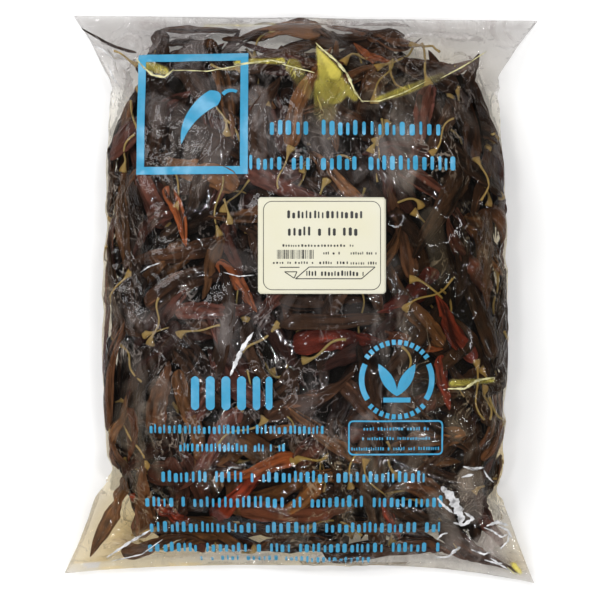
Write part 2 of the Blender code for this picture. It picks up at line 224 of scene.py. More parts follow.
# The film's skin: how far it clears a pod, how much it is sucked in at each of its rounds, and the size of
# its crumples where it is tight, where it spans gaps and where it is slack.
SKIN_CLEAR = 0.45 * MM
SUCTION = 0.035 * MM
SKIN_ROUNDS = 420
BIG_CRUMPLES = (0.45 * MM, 0.8 * MM, 2.2 * MM)
SMALL_CRUMPLES = (0.14 * MM, 0.28 * MM, 0.7 * MM)
EAR_WAVE = 2.2 * MM

# Meshes. A chilli that owns fewer cells of the chart than this is left out, as nothing of it can be seen.
LEAST_SHOWN = 3
NEAR_SHOWN = 30
NEAR_U = 0.28
POD_STATIONS = {"near": 40, "far": 14}
POD_AROUND = {"near": 22, "far": 10}
STEM_STATIONS = 20
STEM_AROUND = 8
LOWEST = 0.4 * MM
CUP_SHARE = 0.21
WIDEST_CUP = 3.7 * MM
CUP_LENGTH = 4.2 * MM
FILM_FRONT_COLUMNS = 232
FILM_BACK_COLUMNS = 88
FILM_ROWS = 288

# Painted highlights along folds of the film, white and cream: each is its half width, then the points of its
# path, in mm. They are strips of three lanes that stand above the film by CREASE_LIFTS.
CREASE_STEP = 1.2 * MM
CREASE_LIFTS = (0.25 * MM, 0.9 * MM, 0.25 * MM)
CREAM_FOLD_HIGHLIGHTS = (
    (1.2, (-124, 181), (-118, 174), (-111, 168), (-102, 166), (-95, 172)),
    (0.5, (-96, 171), (-70, 170), (-57, 172), (-36, 176)),
    (1.1, (-50, 175), (-36, 176), (-22, 178), (-12, 176)),
    (0.5, (-14, 175), (4, 170), (10, 168)),
    (1.3, (11, 192), (17, 186), (26, 178), (34, 168), (40, 154), (46, 146)),
    (0.6, (44, 147), (58, 147), (75, 153), (93, 162)),
    (1.3, (108, -66), (121, -66), (130, -60), (144, -58)),
    (0.8, (104, 165), (122, 175), (140, 187)),
    (0.7, (156, -202), (162, -208), (168, -207)),
)
PALE_FOLD_HIGHLIGHTS = (
    (4.8, (104, -139), (111, -146), (116, -154), (120, -163), (119, -169)),
    (1.8, (114, -167), (122, -169), (129, -164), (122, -159)),
    (1.6, (101, -147), (106, -153), (113, -159)),
    (1.0, (137, -171), (144, -174), (151, -179), (157, -176)),
    (1.0, (157, -175), (156, -182), (150, -188)),
    (1.9, (139, -170), (147, -167), (156, -170)),
    (1.0, (128, -188), (138, -192), (143, -190)),
    (0.9, (143, -195), (149, -199), (152, -199)),
    (1.0, (102, -180), (106, -176), (110, -175)),
    (0.8, (101, -194), (110, -194), (116, -190)),
    (1.7, (112, -192), (116, -189), (120, -186)),
    (1.2, (119, -132), (123, -131), (128, -130)),
    (1.0, (136, -127), (139, -132), (144, -137)),
    (1.4, (120, -124), (128, -126), (136, -125)),
    (1.1, (148, -170), (156, -174), (159, -180)),
    (1.0, (138, -196), (150, -200), (160, -206)),
    (1.4, (-147, -195), (-128, -182), (-112, -172)),
    (0.7, (-144, -198), (-120, -192), (-104, -180)),
    (2.2, (-52, -56), (-47, -44), (-42, -34), (-35, -24)),
    (0.7, (-119, 20), (-113, 24), (-104, 27)),
    (0.6, (-57, 20), (-46, 17), (-34, 18)),
    (0.7, (-170, 196), (-150, 189), (-138, 178)),
    (0.8, (-146, 178), (-141, 166), (-134, 158)),
)
# Where the film looks tan: x, y, reach across and along in mm, and strength.
WARM_SPOTS = (
    (14, 166, 12, 34, 0.7), (148, -122, 12, 20, 1.0), (-146, 20, 12, 90, 0.6), (-40, -156, 110, 30, 0.6),
    (114, 24, 46, 100, 1.0), (120, -70, 34, 60, 0.6), (46, 162, 44, 24, 0.8), (-130, -178, 24, 20, 0.5),
    (-165, -190, 34, 24, 0.35), (-110, -200, 60, 7, 0.6), (0, -202, 170, 5, 0.25), (168, -190, 16, 24, 0.3),
    (-100, 60, 40, 60, 0.35), (-120, -100, 30, 50, 0.6), (20, -120, 60, 14, 0.5), (0, -156, 130, 46, 0.45),
)

# Film that a fold doubles, with a painted sheen: grey strips and yellow painted reflections. Each is a strip
# from x and y to x and y, then its half width in mm and its strength at each end.
DOUBLED_FILM_SHEEN = {
    "yellow": (
        (12, 189, 24, 156, 0.5, 11, 0.9, 0.3), (13, 187, 25, 168, 0.6, 5, 1.0, 0.95),
        (18, 172, 40, 150, 5, 3, 0.6, 0.3), (14, 160, 18, 140, 4, 9, 0.4, 0.1),
        (-119, 177, -102, 171, 3.4, 3, 0.5, 0.5), (-48, 177, -14, 178, 1.6, 2, 0.5, 0.6),
        (-6, 174, 6, 152, 6, 4, 0.26, 0.12), (56, 148, 76, 155, 2, 3.4, 0.3, 0.26),
        (76, 155, 106, 167, 3.4, 3, 0.26, 0.12), (161, -201, 166, -207, 1.6, 1.2, 0.95, 0.95),
        (-20, 208, -72, 207, 1.2, 1.6, 0.2, 0.2), (112, -62, 143, -60, 2.4, 1.6, 0.5, 0.4),
    ),
    "grey": (
        (-32, 152, -22, 116, 7, 9, 0.5, 0.3), (96, 167, 130, 179, 2.4, 6, 0.7, 0.5),
        (-20, 208, 140, 207, 3, 3, 0.6, 0.3), (-104, -66, -98, -92, 9, 7, 0.4, 0.2),
        (126, -134, 128, -160, 10, 8, 1.0, 0.9), (134, -186, 148, -178, 7, 8, 1.0, 1.0),
        (100, -150, 112, -180, 8, 9, 0.6, 0.5), (146, -194, 154, -200, 4, 3, 0.7, 0.4),
        (-54, -8, -48, -40, 6, 9, 0.3, 0.2), (96, 60, 104, 20, 8, 6, 0.25, 0.1),
        (-140, -184, -112, -174, 5, 4, 0.5, 0.3), (-120, 208, -30, 206, 3, 2, 0.4, 0.3),
        (40, -8, 60, -22, 8, 6, 0.25, 0.1), (-60, 34, -36, 26, 8, 6, 0.35, 0.2),
        (20, 120, 34, 92, 7, 8, 0.35, 0.1), (-136, 168, -128, 150, 6, 4, 0.4, 0.2),
        (-112, 146, -60, 118, 9, 12, 0.35, 0.3),
    ),
}

# Long folds in the front film, each from x and y to x and y, then its height and reach to a side, in mm.
FOLDS = (
    (-127, 182, -96, 173, 3.0, 7),
    (-97, 173, -62, 179, 2.6, 7),
    (-64, 178, -12, 178, 2.8, 8),
    (-14, 179, 30, 152, 2.6, 7),
    (104, 161, 144, 186, 3.0, 8),
    (110, -58, 146, -70, 2.2, 6),
    (4, 188, 26, 150, 3.2, 9),
    (96, -140, 118, -172, 3.4, 8),
    (118, -128, 150, -168, 3.0, 8),
    (128, -176, 160, -150, 2.6, 7),
    (-150, -196, -104, -166, 3.2, 8),
    (-120, 20, -106, 16, 1.8, 5),
    (-57, -22, -36, -58, 1.8, 6),
)
# Where the front film is slack and crumpled: x, y and reach across and along, in mm.
SLACK_SPOTS = (
    (122, -150, 34, 40),
    (-128, -176, 34, 24),
    (-40, -36, 16, 26),
    (0, 196, 150, 10),
    (96, 150, 40, 26),
    (-118, 28, 14, 22),
)

# Marks on the label, in mm from its middle. A row is its y, left, right, letter height and number of blocks.
LABEL_ROWS = (
    (22.8, -25.5, 29.5, 6.2, 17), (10.6, -25, 26, 7.4, 11), (0, -29, 23, 1.9, 23),
    (-5.6, 1, 13, 2.2, 5), (-5.6, 21, 40, 2.2, 10), (-12.6, -36, -6.5, 1.8, 12),
    (-12.6, -2, 19, 2.2, 9), (-12.9, 21, 40, 2.2, 10), (-20.4, -11.5, 30.5, 4.2, 17),
)
LABEL_STROKES = (-32.8, -5, -9.8, -3.2)
LABEL_TAG = ((-9.5, -15.8), (39, -15.8), (29, -24.4), (-19.5, -24.4), (-9.5, -15.8))
LABEL_TRIANGLE = ((-27.5, -19.3), (-20.5, -24), (-18.4, -19.3), (-27.5, -19.3))
LABEL_DASH = ((-31, -16), (-16.6, -16))

# Print on the film, in mm. A row is its y, left, right, letter height and number of blocks.
PRINT_ROWS = (
    (127, -23, 103, 12, 20), (101, -38, 114, 12, 25),
    (-95.6, -112, 16.5, 7.4, 36), (-109, -90, -12, 7, 22),
    (-131, -103.5, 91.5, 9.4, 40), (-150, -116, 105, 9.4, 44),
    (-170, -113, 104, 9, 44), (-186, -115, 104, 8, 41), (-195, -76, 52, 5, 28),
)
PRINT_BLOCKS = ((-81, -75), (-70, -63.5), (-58.5, -52), (-47, -40.5), (-35.5, -30), (-26, -21))
PRINT_BLOCKS_Y = -69
PRINT_BLOCKS_TALL = 27
NOTICE_AT = (69.8, -102)
NOTICE_SIZE = (69, 24.7)
NOTICE_ROWS = ((-95.2, 46, 94, 2.8, 20), (-102.4, 45, 95, 2.6, 24), (-110, 37, 102, 2.8, 32))
EMBLEM_AT = (70.5, -59)
EMBLEM_RADIUS = 26 * MM
PANEL_AT = (-80.6, 138)
PANEL_SIZE = (77, 85.5)
PANEL_LINE = 5.8

# The chilli in the corner panel, in mm from the panel's middle: its shoulder, its size and its stem's arc.
PANEL_POD_AT = (22, 14)
PANEL_POD_LENGTH = 50
PANEL_POD_STATIONS = 60
PANEL_POD_HALF = 6.6
PANEL_STEM_AT = (29, 9)
PANEL_STEM_RADIUS = 8

# Floor, camera and lights. A light is its name, place, size and power. They stand off the camera's axis, so
# that flat film doesn't mirror them.
FLOOR_HALF = 4.0
FLOOR_DROP = 0.3 * MM
FLOOR_GLOW = 0.16
SKY_COLOUR = (1.0, 0.985, 0.97, 1.0)
EYE_AT = (-0.75 * MM, -0.4 * MM)
SENSOR_WIDTH = 36.0
FAR_LIMIT = 50.0
LIGHTS = (
    ("window", (-1.2, 1.0, 1.5), (1.5, 0.9), 27.0),
    ("strip_right", (1.25, -0.25, 1.15), (0.06, 1.2), 3.6),
    ("strip_near", (0.2, -1.3, 1.2), (1.1, 0.05), 9.0),
    ("strip_top", (0.42, 0.62, 1.9), (0.5, 0.03), 8.0),
    ("strip_left", (-0.6, -0.35, 1.9), (0.03, 0.3), 4.5),
)

# Label and print, as they lie on the front.
LABEL_SIZE = (94 * MM, 71 * MM)
LABEL_AT = (15.4 * MM, 39.6 * MM)
LABEL_LIFT = 0.6 * MM
LABEL_MARGIN = 5 * MM
INK_LIFT = 0.3 * MM
LABEL_CORNER = 1.6 * MM
LABEL_GRID = (40, 48)
PAPER_THICKNESS = 0.25 * MM
MARKS_LIFT = LABEL_LIFT + 0.12 * MM


def ramp(value, start, end):
    """0 before start, 1 after end, and straight between."""
    return np.clip((value - start) / (end - start), 0, 1)


def smooth(share):
    return share * share * (3 - 2 * share)


def signed(u):
    """u between -0.5 and 0.5, so that it is 0 in the middle of the front."""
    return (u + 0.5) % 1 - 0.5


def per_side(cosine, values):
    return np.where(cosine > 0, values["right"], values["left"])


def fill_share(y):
    """-1 at the filling's bottom end, 0 at its middle and 1 at its top end."""
    return np.clip((2 * y - FILL_TOP - FILL_BOTTOM) / (FILL_TOP - FILL_BOTTOM), -1, 1)


def body_half(y, cosine):
    """Half the body's width: a straight side plus a shallow parabola."""
    return per_side(cosine, BODY_HALF) + BODY_BULGE * np.clip(1 - (y / BULGE_REACH) ** 2, 0, 1)


def film_half(y, cosine):
    """Half the film's width: the body's, plus ears that grow almost straight towards each seam."""
    top = ramp(y, per_side(cosine, EAR_TOP_START), TOP_Y)
    bottom = ramp(y, per_side(cosine, EAR_BOTTOM_START), BOTTOM_Y)
    ears = per_side(cosine, EAR_TOP) * top**1.1, per_side(cosine, EAR_BOTTOM) * bottom**1.1
    return body_half(y, cosine) + ears[0] + ears[1]


def fill_half(y, cosine):
    """Half the filling's width: a rounded rectangle, from a superellipse."""
    share = fill_share(y)
    power = np.where(share > 0, PLAN_POWER_TOP, PLAN_POWER_BOTTOM)
    return body_half(y, cosine) * (1 - np.abs(share) ** power) ** (1 / power)


def bag_points(v, theta):
    """The smooth bag. Each section is two superellipse arcs, the crown and the belly, that meet in flat
    film. v runs from the bottom seam, 0, to the top seam, 1, and theta runs round from the right edge over
    the front."""
    cosine, sine = np.cos(theta), np.sin(theta)
    row_y = BOTTOM_Y + v * (TOP_Y - BOTTOM_Y)
    x = film_half(row_y, cosine) * cosine
    corner = np.abs(x / SEAM_HALF)
    top_y = TOP_Y + per_side(cosine, TOP_RISE) * corner
    bottom_y = BOTTOM_Y - per_side(cosine, BOTTOM_DROP) * corner**3
    y = bottom_y + v * (top_y - bottom_y)

    along = fill_share(row_y)
    half = np.maximum(fill_half(row_y, cosine), 1e-6)
    across = np.clip(np.abs(x) / half, 0, 1)
    fullness = (1 - np.abs(along) ** 3) ** (1 / 1.5)
    roundness = 1 / (2 - 0.8 * along**4)
    middle = SEAM_HEIGHT + (MID_HEIGHT - SEAM_HEIGHT) * fullness
    lift = SEAM_HEIGHT * smooth(ramp(np.abs(along), END_TAPER_START, 1))
    droop = EAR_DROOP * ramp(np.abs(x) - half, 0, EAR_DROOP_REACH)
    flap = np.where(np.abs(sine) < 1e-6, 0, FLAP / 2)
    crown = (THICKNESS - MID_HEIGHT) * fullness * (1 - across**CROWN_POWER) ** roundness
    belly = np.maximum(middle - lift - FLAP / 2, 0) * (1 - across**UNDERSIDE_POWER) ** roundness
    z = middle - droop + np.where(sine >= 0, flap + crown, -flap - belly)
    return np.stack([CENTRE_X + x, y, z], axis=-1)


def between_cells(table, row, column):
    """A table's value between its cells, straight along both directions. Its columns are closed."""
    rows, columns = table.shape[:2]
    r, c = np.minimum(row.astype(int), rows - 2), column.astype(int) % columns
    d = (c + 1) % columns
    fr, fc = row - r, column - np.floor(column)
    if table.ndim == 3:
        fr, fc = fr[..., None], fc[..., None]
    lower = table[r, c] * (1 - fc) + table[r, d] * fc
    upper = table[r + 1, c] * (1 - fc) + table[r + 1, d] * fc
    return lower * (1 - fr) + upper * fr


class Chart:
    """The smooth bag as tables over y (rows) and u (columns, closed round the bag), with its outward
    normals, its length round, and the room for chillies under each cell."""

    def __init__(self):
        v = np.linspace(0, 1, CHART_ROWS)
        theta = math.pi / 2 - np.linspace(0, TAU, RING_POINTS)
        rings = bag_points(v[:, None], theta[None, :])
        steps = np.linalg.norm(np.diff(rings, axis=1), axis=2)
        arcs = np.concatenate([np.zeros((CHART_ROWS, 1)), np.cumsum(steps, axis=1)], axis=1)
        self.around = float(arcs[:, -1].mean())
        self.u = np.arange(CHART_COLUMNS) / CHART_COLUMNS
        self.signed_u = signed(self.u)
        self.y = BOTTOM_Y + v * (TOP_Y - BOTTOM_Y)
        self.points = np.array([
            [np.interp(self.u, arc / arc[-1], ring[:, k]) for k in range(3)]
            for arc, ring in zip(arcs, rings)]).transpose(0, 2, 1)
        across = np.roll(self.points, -1, axis=1) - np.roll(self.points, 1, axis=1)
        outward = np.cross(across, np.gradient(self.points, axis=0))
        self.normals = outward / np.maximum(np.linalg.norm(outward, axis=2, keepdims=True), 1e-12)
        self.room, self.edge = self._room_and_edge()

    def _room_and_edge(self):
        """Thickness of the filling: the height between front and back where film ears stand out, and the
        whole row's thickness where the film follows the filled side. With it, where the film is a flat
        edge."""
        x = self.points[..., 0] - CENTRE_X
        y = self.y[:, None]
        behind = (CHART_COLUMNS // 2 - np.arange(CHART_COLUMNS)) % CHART_COLUMNS
        height = np.abs(self.points[..., 2] - self.points[:, behind, 2])
        whole = height[:, :1]
        ear = film_half(y, x) - fill_half(y, x)
        edge = (np.abs(x) > fill_half(y, x) - EDGE_MARGIN) & (ear > EDGE_EAR)
        return whole + (height - whole) * ramp(ear, 2 * MM, 10 * MM), edge

    def look_up(self, table, u, y):
        row = np.clip((y - BOTTOM_Y) / (TOP_Y - BOTTOM_Y), 0, 1) * (CHART_ROWS - 1)
        return between_cells(table, row, (u % 1) * CHART_COLUMNS)

    def cells(self, u, y):
        row = np.rint((y - BOTTOM_Y) / (TOP_Y - BOTTOM_Y) * (CHART_ROWS - 1)).astype(int)
        column = np.rint((u % 1) * CHART_COLUMNS).astype(int) % CHART_COLUMNS
        return np.clip(row, 0, CHART_ROWS - 1), column

    def place(self, u, y, height):
        """The point that stands height outside the smooth film, and the outward direction there."""
        outward = self.look_up(self.normals, u, y)
        outward = outward / np.maximum(np.linalg.norm(outward, axis=-1, keepdims=True), 1e-12)
        return self.look_up(self.points, u, y) + outward * height[..., None], outward

    def front_u(self, x, y):
        """u of the front at a place in plan, by Newton steps from a straight guess."""
        u = (x - CENTRE_X) / self.around
        for _ in range(12):
            off = x - self.look_up(self.points[..., :1], u, y)[..., 0]
            u = np.clip(u + off / self.around, -FRONT_LIMIT, FRONT_LIMIT)
        return u


@functools.lru_cache
def chart():
    return Chart()


def on_label(points, margin):
    """1 on the label's rectangle and on the front, falling to 0 over the margin."""
    out_x = np.abs(points[..., 0] - LABEL_AT[0]) - LABEL_SIZE[0] / 2
    out_y = np.abs(points[..., 1] - LABEL_AT[1]) - LABEL_SIZE[1] / 2
    out = np.maximum(np.maximum(out_x, out_y), 0)
    return (1 - ramp(out, 0, margin)) * (points[..., 2] > MID_HEIGHT)


def pod_half_width(t, width):
    """Half a pod's width at share t: it swells fast from the shoulder, then tapers along a power curve to a
    tip."""
    swell = 0.5 + 0.5 * np.sin(0.5 * math.pi * np.clip(t / 0.14, 0, 1))
    return 0.5 * width * np.maximum(swell * (1 - t**2.6) ** 0.76, 0.1)


def stem_profile(t, length, radius, pod_width):
    """Half width, flatness and nearness to the pod along a stem: a bell-shaped cup that thins to an even
    stalk, which thickens again at its cut end."""
    from_pod = t * length
    cup = np.minimum(pod_width * CUP_SHARE, WIDEST_CUP)
    grown = radius * (1 + 0.35 * ramp(t, 0.85, 1))
    near = np.exp(-((from_pod / CUP_LENGTH) ** 2))
    return grown + (cup - grown) * near, 1 - 0.4 * near, near


class Pile:
    """Height of the pile over the chart, measured outwards from the smooth film, so that it is mostly below
    0. It starts as a floor, which stays deep right up to both ends, because pods there push the film out. A
    chilli is bent over what lies under it, and then raises the pile. Where the bag is thinner than a pod,
    the pod lies halfway between front and back and pushes both out."""

    def __init__(self):
        self.chart = chart()
        self.base = -np.minimum(CORE_DEPTH, CORE_SHARE * self.chart.room)
        self.top = self.base.copy()
        for step in range(1, END_REACH + 1):
            self.top[step:] = np.minimum(self.top[step:], self.base[:-step])
            self.top[:-step] = np.minimum(self.top[:-step], self.base[step:])
        self.ceiling = np.full_like(self.top, -PILE_CLEAR)
        self.owner = np.full(self.top.shape, -1)
        self.pods, self.stems = [], []

    def path(self, u, y, heading, bend, length, stations, sway=0.0, phase=0.0):
        """A line on the chart from (u, y): equal steps whose heading turns evenly by bend and sways once
        round."""
        t = np.linspace(0, 1, stations)
        angle = np.radians(heading + bend * (t - 0.5) + sway * np.sin(TAU * 0.9 * t + phase))
        step = length / (stations - 1)
        moved = np.stack([np.cos(angle), np.sin(angle)]) * step
        moved = np.cumsum((moved[:, 1:] + moved[:, :-1]) / 2, axis=1)
        moved = np.concatenate([np.zeros((2, 1)), moved], axis=1)
        return t, u + moved[0] / self.chart.around, y + moved[1], angle

    def pod_path(self, chilli, stations=SETTLE_STATIONS):
        return self.path(
            chilli["u"], chilli["y"], chilli["heading"], chilli["bend"], chilli["length"], stations,
            chilli["sway"], chilli["folds"][0])

    def stem_path(self, chilli):
        return self.path(
            chilli["u"], chilli["y"], chilli["stem_heading"], chilli["stem_bend"], chilli["stem"],
            SETTLE_STATIONS, chilli["stem_sway"], chilli["folds"][1])

    def lanes(self, path, half, lanes):
        """Cells under a strip along the path, half wide to each side."""
        _, u, y, angle = path
        side = np.linspace(-LANE_REACH, LANE_REACH, lanes) * half[:, None]
        lane_u = u[:, None] - side * np.sin(angle)[:, None] / self.chart.around
        return self.chart.cells(lane_u, y[:, None] + side * np.cos(angle)[:, None])

    def leaves_bag(self, path):
        """Whether a path comes too near a seam or runs into flat film."""
        _, u, y, _ = path
        cells = self.chart.cells(u, y)
        outside = y.min() < BOTTOM_Y + END_CLEAR or y.max() > TOP_Y - END_CLEAR
        return outside or self.chart.edge[cells].any() or self.chart.room[cells].min() < LEAST_ROOM

    def rest_heights(self, path, half, thick):
        """Centre heights of a limp pod: the highest ground under each station, smoothed along the pod."""
        ground = self.top[self.lanes(path, half, SETTLE_LANES)].max(axis=1)
        padded = np.pad(ground, 3, mode="edge")
        kernel = np.array([1, 2, 3, 4, 3, 2, 1]) / 16
        return np.maximum(np.convolve(padded, kernel, mode="valid"), ground - MOST_SUNK) + thick

    def raise_over(self, path, height, half, thick, owner):
        """Lifts the pile to a strip's elliptical back, and in thin film the far side too."""
        t = np.linspace(0, 1, DOME_STEPS * len(height))
        fine = tuple(np.interp(t, path[0], values) for values in path)
        height, half, thick = (np.interp(t, path[0], values) for values in (height, half, thick))
        rows, columns = self.lanes(fine, half, DOME_LANES)
        side = np.linspace(-LANE_REACH, LANE_REACH, DOME_LANES)
        dome = thick[:, None] * np.sqrt(1 - side**2)
        crest = height[:, None] + dome
        higher = crest > self.top[rows, columns]
        if owner is not None:
            self.owner[rows[higher], columns[higher]] = owner
        np.maximum.at(self.top, (rows, columns), crest)
        room = self.chart.room[rows, columns]
        thin = room < 2 * CORE_DEPTH
        behind = (CHART_COLUMNS // 2 - columns) % CHART_COLUMNS
        under = dome - room - height[:, None]
        np.maximum.at(self.top, (rows[thin], behind[thin]), under[thin])

    def settled(self, chilli, squeeze):
        """Path, centre heights, half widths and half thicknesses of a pod, with how far it had to be
        pressed down. None where it doesn't fit."""
        path = self.pod_path(chilli)
        if squeeze is not None and self.leaves_bag(path):
            return None
        t, u, y, _ = path
        half = pod_half_width(t, chilli["width"])
        room = self.chart.room[self.chart.cells(u, y)]
        thick = chilli["thick"] * half / chilli["width"]
        thin = room < 2 * (thick + PILE_CLEAR)
        height = self.rest_heights(path, half, thick)
        ceiling = self.ceiling[self.lanes(path, half, 3)].min(axis=1)
        pressed = np.maximum(height + thick - ceiling, 0) * ~thin
        taken = self.owner[self.chart.cells(u, y)][thin] >= 0
        if squeeze is not None and (pressed.max() > squeeze or taken.any()):
            return None
        height = np.where(thin, -room / 2, np.maximum(np.minimum(height, ceiling - thick), -room / 2))
        return path, height, half, thick, float(pressed.mean())

    def lay(self, chilli, squeeze=0.0):
        """Settles one chilli and its stem. With squeeze None it is laid wherever it is."""
        found = self.settled(chilli, squeeze)
        if found is None:
            return False
        path, height, half, thick, _ = found
        chilli.update(path=path, height=height, thick_along=thick)
        self.pods.append(chilli)
        self.raise_over(path, height, half, thick, len(self.pods) - 1)
        if chilli["stem"]:
            self.lay_stem(chilli, height, squeeze is None)
        return True

    def lay_stem(self, chilli, pod_height, named):
        """Runs a stem from the shoulder over the pile. It starts at the pod's height and then rests on the
        pile. A stem that would leave the bag is shortened until it stays inside."""
        for length in chilli["stem"] * np.array(STEM_TRIES):
            chilli["stem"] = length
            path = self.stem_path(chilli)
            if not self.leaves_bag(path):
                break
        else:
            if not named:
                return
        size, flatness, _ = stem_profile(path[0], chilli["stem"], chilli["stem_radius"], chilli["width"])
        thick = size * flatness
        ground = self.rest_heights(path, size, thick)
        start = np.exp(-path[0] * chilli["stem"] / (9 * MM))
        height = pod_height[0] * start + ground * (1 - start)
        room = self.chart.room[self.chart.cells(path[1], path[2])]
        height = np.maximum(np.minimum(height, -thick - STEM_CLEAR), -room / 2)
        self.stems.append({**chilli, "path": path, "height": height, "pod": len(self.pods) - 1})
        self.raise_over(path, height, size, thick, None)

    def reserve(self, chilli):
        """Keeps the pile low where a named chilli will lie."""
        path = self.pod_path(chilli, RESERVE_STATIONS)
        cells = self.lanes(path, pod_half_width(path[0], chilli["width"]), RESERVE_LANES)
        np.minimum.at(self.ceiling, cells, -PILE_CLEAR - chilli["thick"] * RESERVE_DEPTH)

    def lowest_spot(self, draw):
        """A random cell, more likely where the pile lies deep under the film or where no chilli lies yet."""
        depth = np.clip(self.ceiling - self.top - WANTED_DEPTH, 0, None) + BARE_DEPTH * (self.owner < 0)
        depth = depth * (self.chart.room > 2 * LEAST_ROOM)
        depth[:, np.abs(self.chart.signed_u) > BACK_U] *= 1 - BACK_SKIP
        weight = np.cumsum((depth**2).ravel())
        row, column = divmod(int(np.searchsorted(weight, draw.uniform(0, weight[-1]))), CHART_COLUMNS)
        return self.chart.u[column], self.chart.y[row]


def drawn_pod(draw, u, y, heading, length, width, stem_heading, stem, kind):
    """A chilli with the small differences that tell it from the next: bend, roll, thickness, folds and
    tone."""
    return {
        "u": u, "y": y, "heading": heading, "length": length, "width": width, "kind": kind,
        "thick": min(width * draw.uniform(0.3, 0.44), THICKEST),
        "bend": draw.uniform(-34, 34), "sway": draw.uniform(4, 17),
        "roll": draw.uniform(-0.35, 0.35), "twist": draw.uniform(-1.1, 1.1),
        "tone": draw.uniform(0, 1), "folds": draw.uniform(0, TAU, 8),
        "stem": stem, "stem_heading": stem_heading, "stem_bend": draw.uniform(-80, 80),
        "stem_sway": draw.uniform(4, 34), "stem_radius": draw.uniform(0.6, 0.95) * MM,
        "stem_tone": draw.uniform(0, 1),
    }


def random_chilli(draw, around, u, y, heading):
    """A chilli of any kind whose pod's middle lies at (u, y)."""
    length, width = draw.uniform(*POD_LENGTHS) * MM, draw.uniform(*POD_WIDTHS) * MM
    stem = draw.uniform(*STEM_LENGTHS) * MM if draw.uniform() < STEM_SHARE else 0
    # Darker kinds are drawn more often on the right side: painted shade.
    dark_side = signed(u) * around > DARK_SIDE_X
    shares = DARK_SIDE_SHARES if dark_side else LOW_SHARES if y < LOW_Y else KIND_SHARES
    kind = str(draw.choice(KINDS, p=shares))
    angle = math.radians(heading)
    return drawn_pod(
        draw, u - 0.5 * length * math.cos(angle) / around, y - 0.5 * length * math.sin(angle),
        heading, length, width, heading + 180 + draw.uniform(-55, 55), stem, kind)


def drawn_heading(draw, u, y):
    """A heading in degrees: mostly along the bag's sides, across its ends, and any way elsewhere."""
    if abs(fill_share(y)) > END_SHARE:
        return draw.uniform(-END_SPREAD, END_SPREAD) + 180 * draw.integers(0, 2)
    near_side = math.exp(-(((abs(signed(u)) - FRONT_EDGE_U) / 0.05) ** 2))
    spread = 90 - SIDE_SPREAD * near_side
    return 90 + draw.uniform(-spread, spread) + 180 * draw.integers(0, 2)


def topping(draw, around, u, y):
    """A chilli whose middle, or a place nearer its tip, lies at (u, y)."""
    heading = drawn_heading(draw, u, y)
    angle, away = math.radians(heading), draw.uniform(0, 0.42) * MEAN_LENGTH
    u, y = u - away * math.cos(angle) / around, y - away * math.sin(angle)
    return random_chilli(draw, around, u, y, heading)


@functools.lru_cache
def settled_pile():
    """The whole pile: chillies dropped anywhere, then more where it is lowest, then the named ones on top."""
    pile = Pile()
    draw = np.random.default_rng(PILE_SEED)
    around = pile.chart.around
    named = []
    for x, y, heading, length, width, kind, *stem_way in FRONT_CHILLIES:
        stem_heading, stem = stem_way or (0, 0)
        u = float(pile.chart.front_u(np.array([x * MM]), np.array([y * MM]))[0])
        chilli = drawn_pod(draw, u, y * MM, heading, length * MM, width * MM, stem_heading, stem * MM, kind)
        chilli["bend"] *= 0.6
        chilli["stem_bend"] *= 0.6
        named.append(chilli)
        pile.reserve(chilli)
    for _ in range(DROPS):
        u, y = draw.uniform(-0.5, 0.5), draw.uniform(BOTTOM_Y, TOP_Y)
        chilli = random_chilli(draw, around, u, y, drawn_heading(draw, u, y))
        if abs(u) > BACK_U and draw.uniform() < BACK_SKIP:
            continue
        pile.lay(chilli)
    for _ in range(TOP_UPS):
        u, y = pile.lowest_spot(draw)
        tried = [topping(draw, around, u, y) for _ in range(TOP_UP_HEADINGS)]
        found = [(pile.settled(chilli, TOP_UP_SQUEEZE), chilli) for chilli in tried]
        fitting = [(settled[4], k) for k, (settled, _) in enumerate(found) if settled]
        if fitting:
            pile.lay(found[min(fitting)[1]][1], TOP_UP_SQUEEZE)
    for chilli in named:
        pile.lay(chilli, None)
    shown = np.bincount(pile.owner[pile.owner >= 0], minlength=len(pile.pods))
    for k, chilli in enumerate(pile.pods):
        chilli["shown"] = int(shown[k])
    return pile


def relaxed(height, lowest, suction, rounds):
    """A stretched skin over obstacles: each cell takes its neighbours' mean less a little suction, and
    never goes under what it lies on. Columns are closed round the bag, and the end rows stay."""
    for _ in range(rounds):
        mean = 0.25 * (np.roll(height, 1, axis=1) + np.roll(height, -1, axis=1))
        mean[1:-1] += 0.25 * (height[2:] + height[:-2])
        mean[0], mean[-1] = height[0], height[-1]
        height = np.maximum(mean - suction, lowest)
    return height


def creases(s, y, seed, count, shortest, longest):
    """Crisp folded film: triangle waves in random directions, each bent by a slow sine and fading in
    patches. Their sum is flat facets that meet in sharp lines. It lies between about -1 and 1."""
    draw = np.random.default_rng(seed)
    total = np.zeros_like(s)
    for _ in range(count):
        angle, phase, slow_phase, patch_phase = draw.uniform(0, TAU, 4)
        wave = draw.uniform(shortest, longest)
        along = s * math.cos(angle) + y * math.sin(angle)
        across = y * math.cos(angle) - s * math.sin(angle)
        bent = along + 0.22 * wave * np.sin(across / wave * 1.3 + slow_phase)
        triangle = 2 * np.abs(2 * ((bent / wave + phase) % 1) - 1) - 1
        patch = np.sin(along / wave * 0.9 + patch_phase) * np.sin(across / wave * 0.7 + slow_phase)
        patch = 0.5 + 0.5 * patch
        total += triangle * patch**1.5 * (wave / longest)
    return total / math.sqrt(count)


def blob(x, y, spot):
    """1 at a spot's middle, falling off as a bell. A spot is its x and y, and its reach across and along,
    in mm."""
    cx, cy, wide, tall = (value * MM for value in spot)
    return np.exp(-(((x - cx) / wide) ** 2) - ((y - cy) / tall) ** 2)


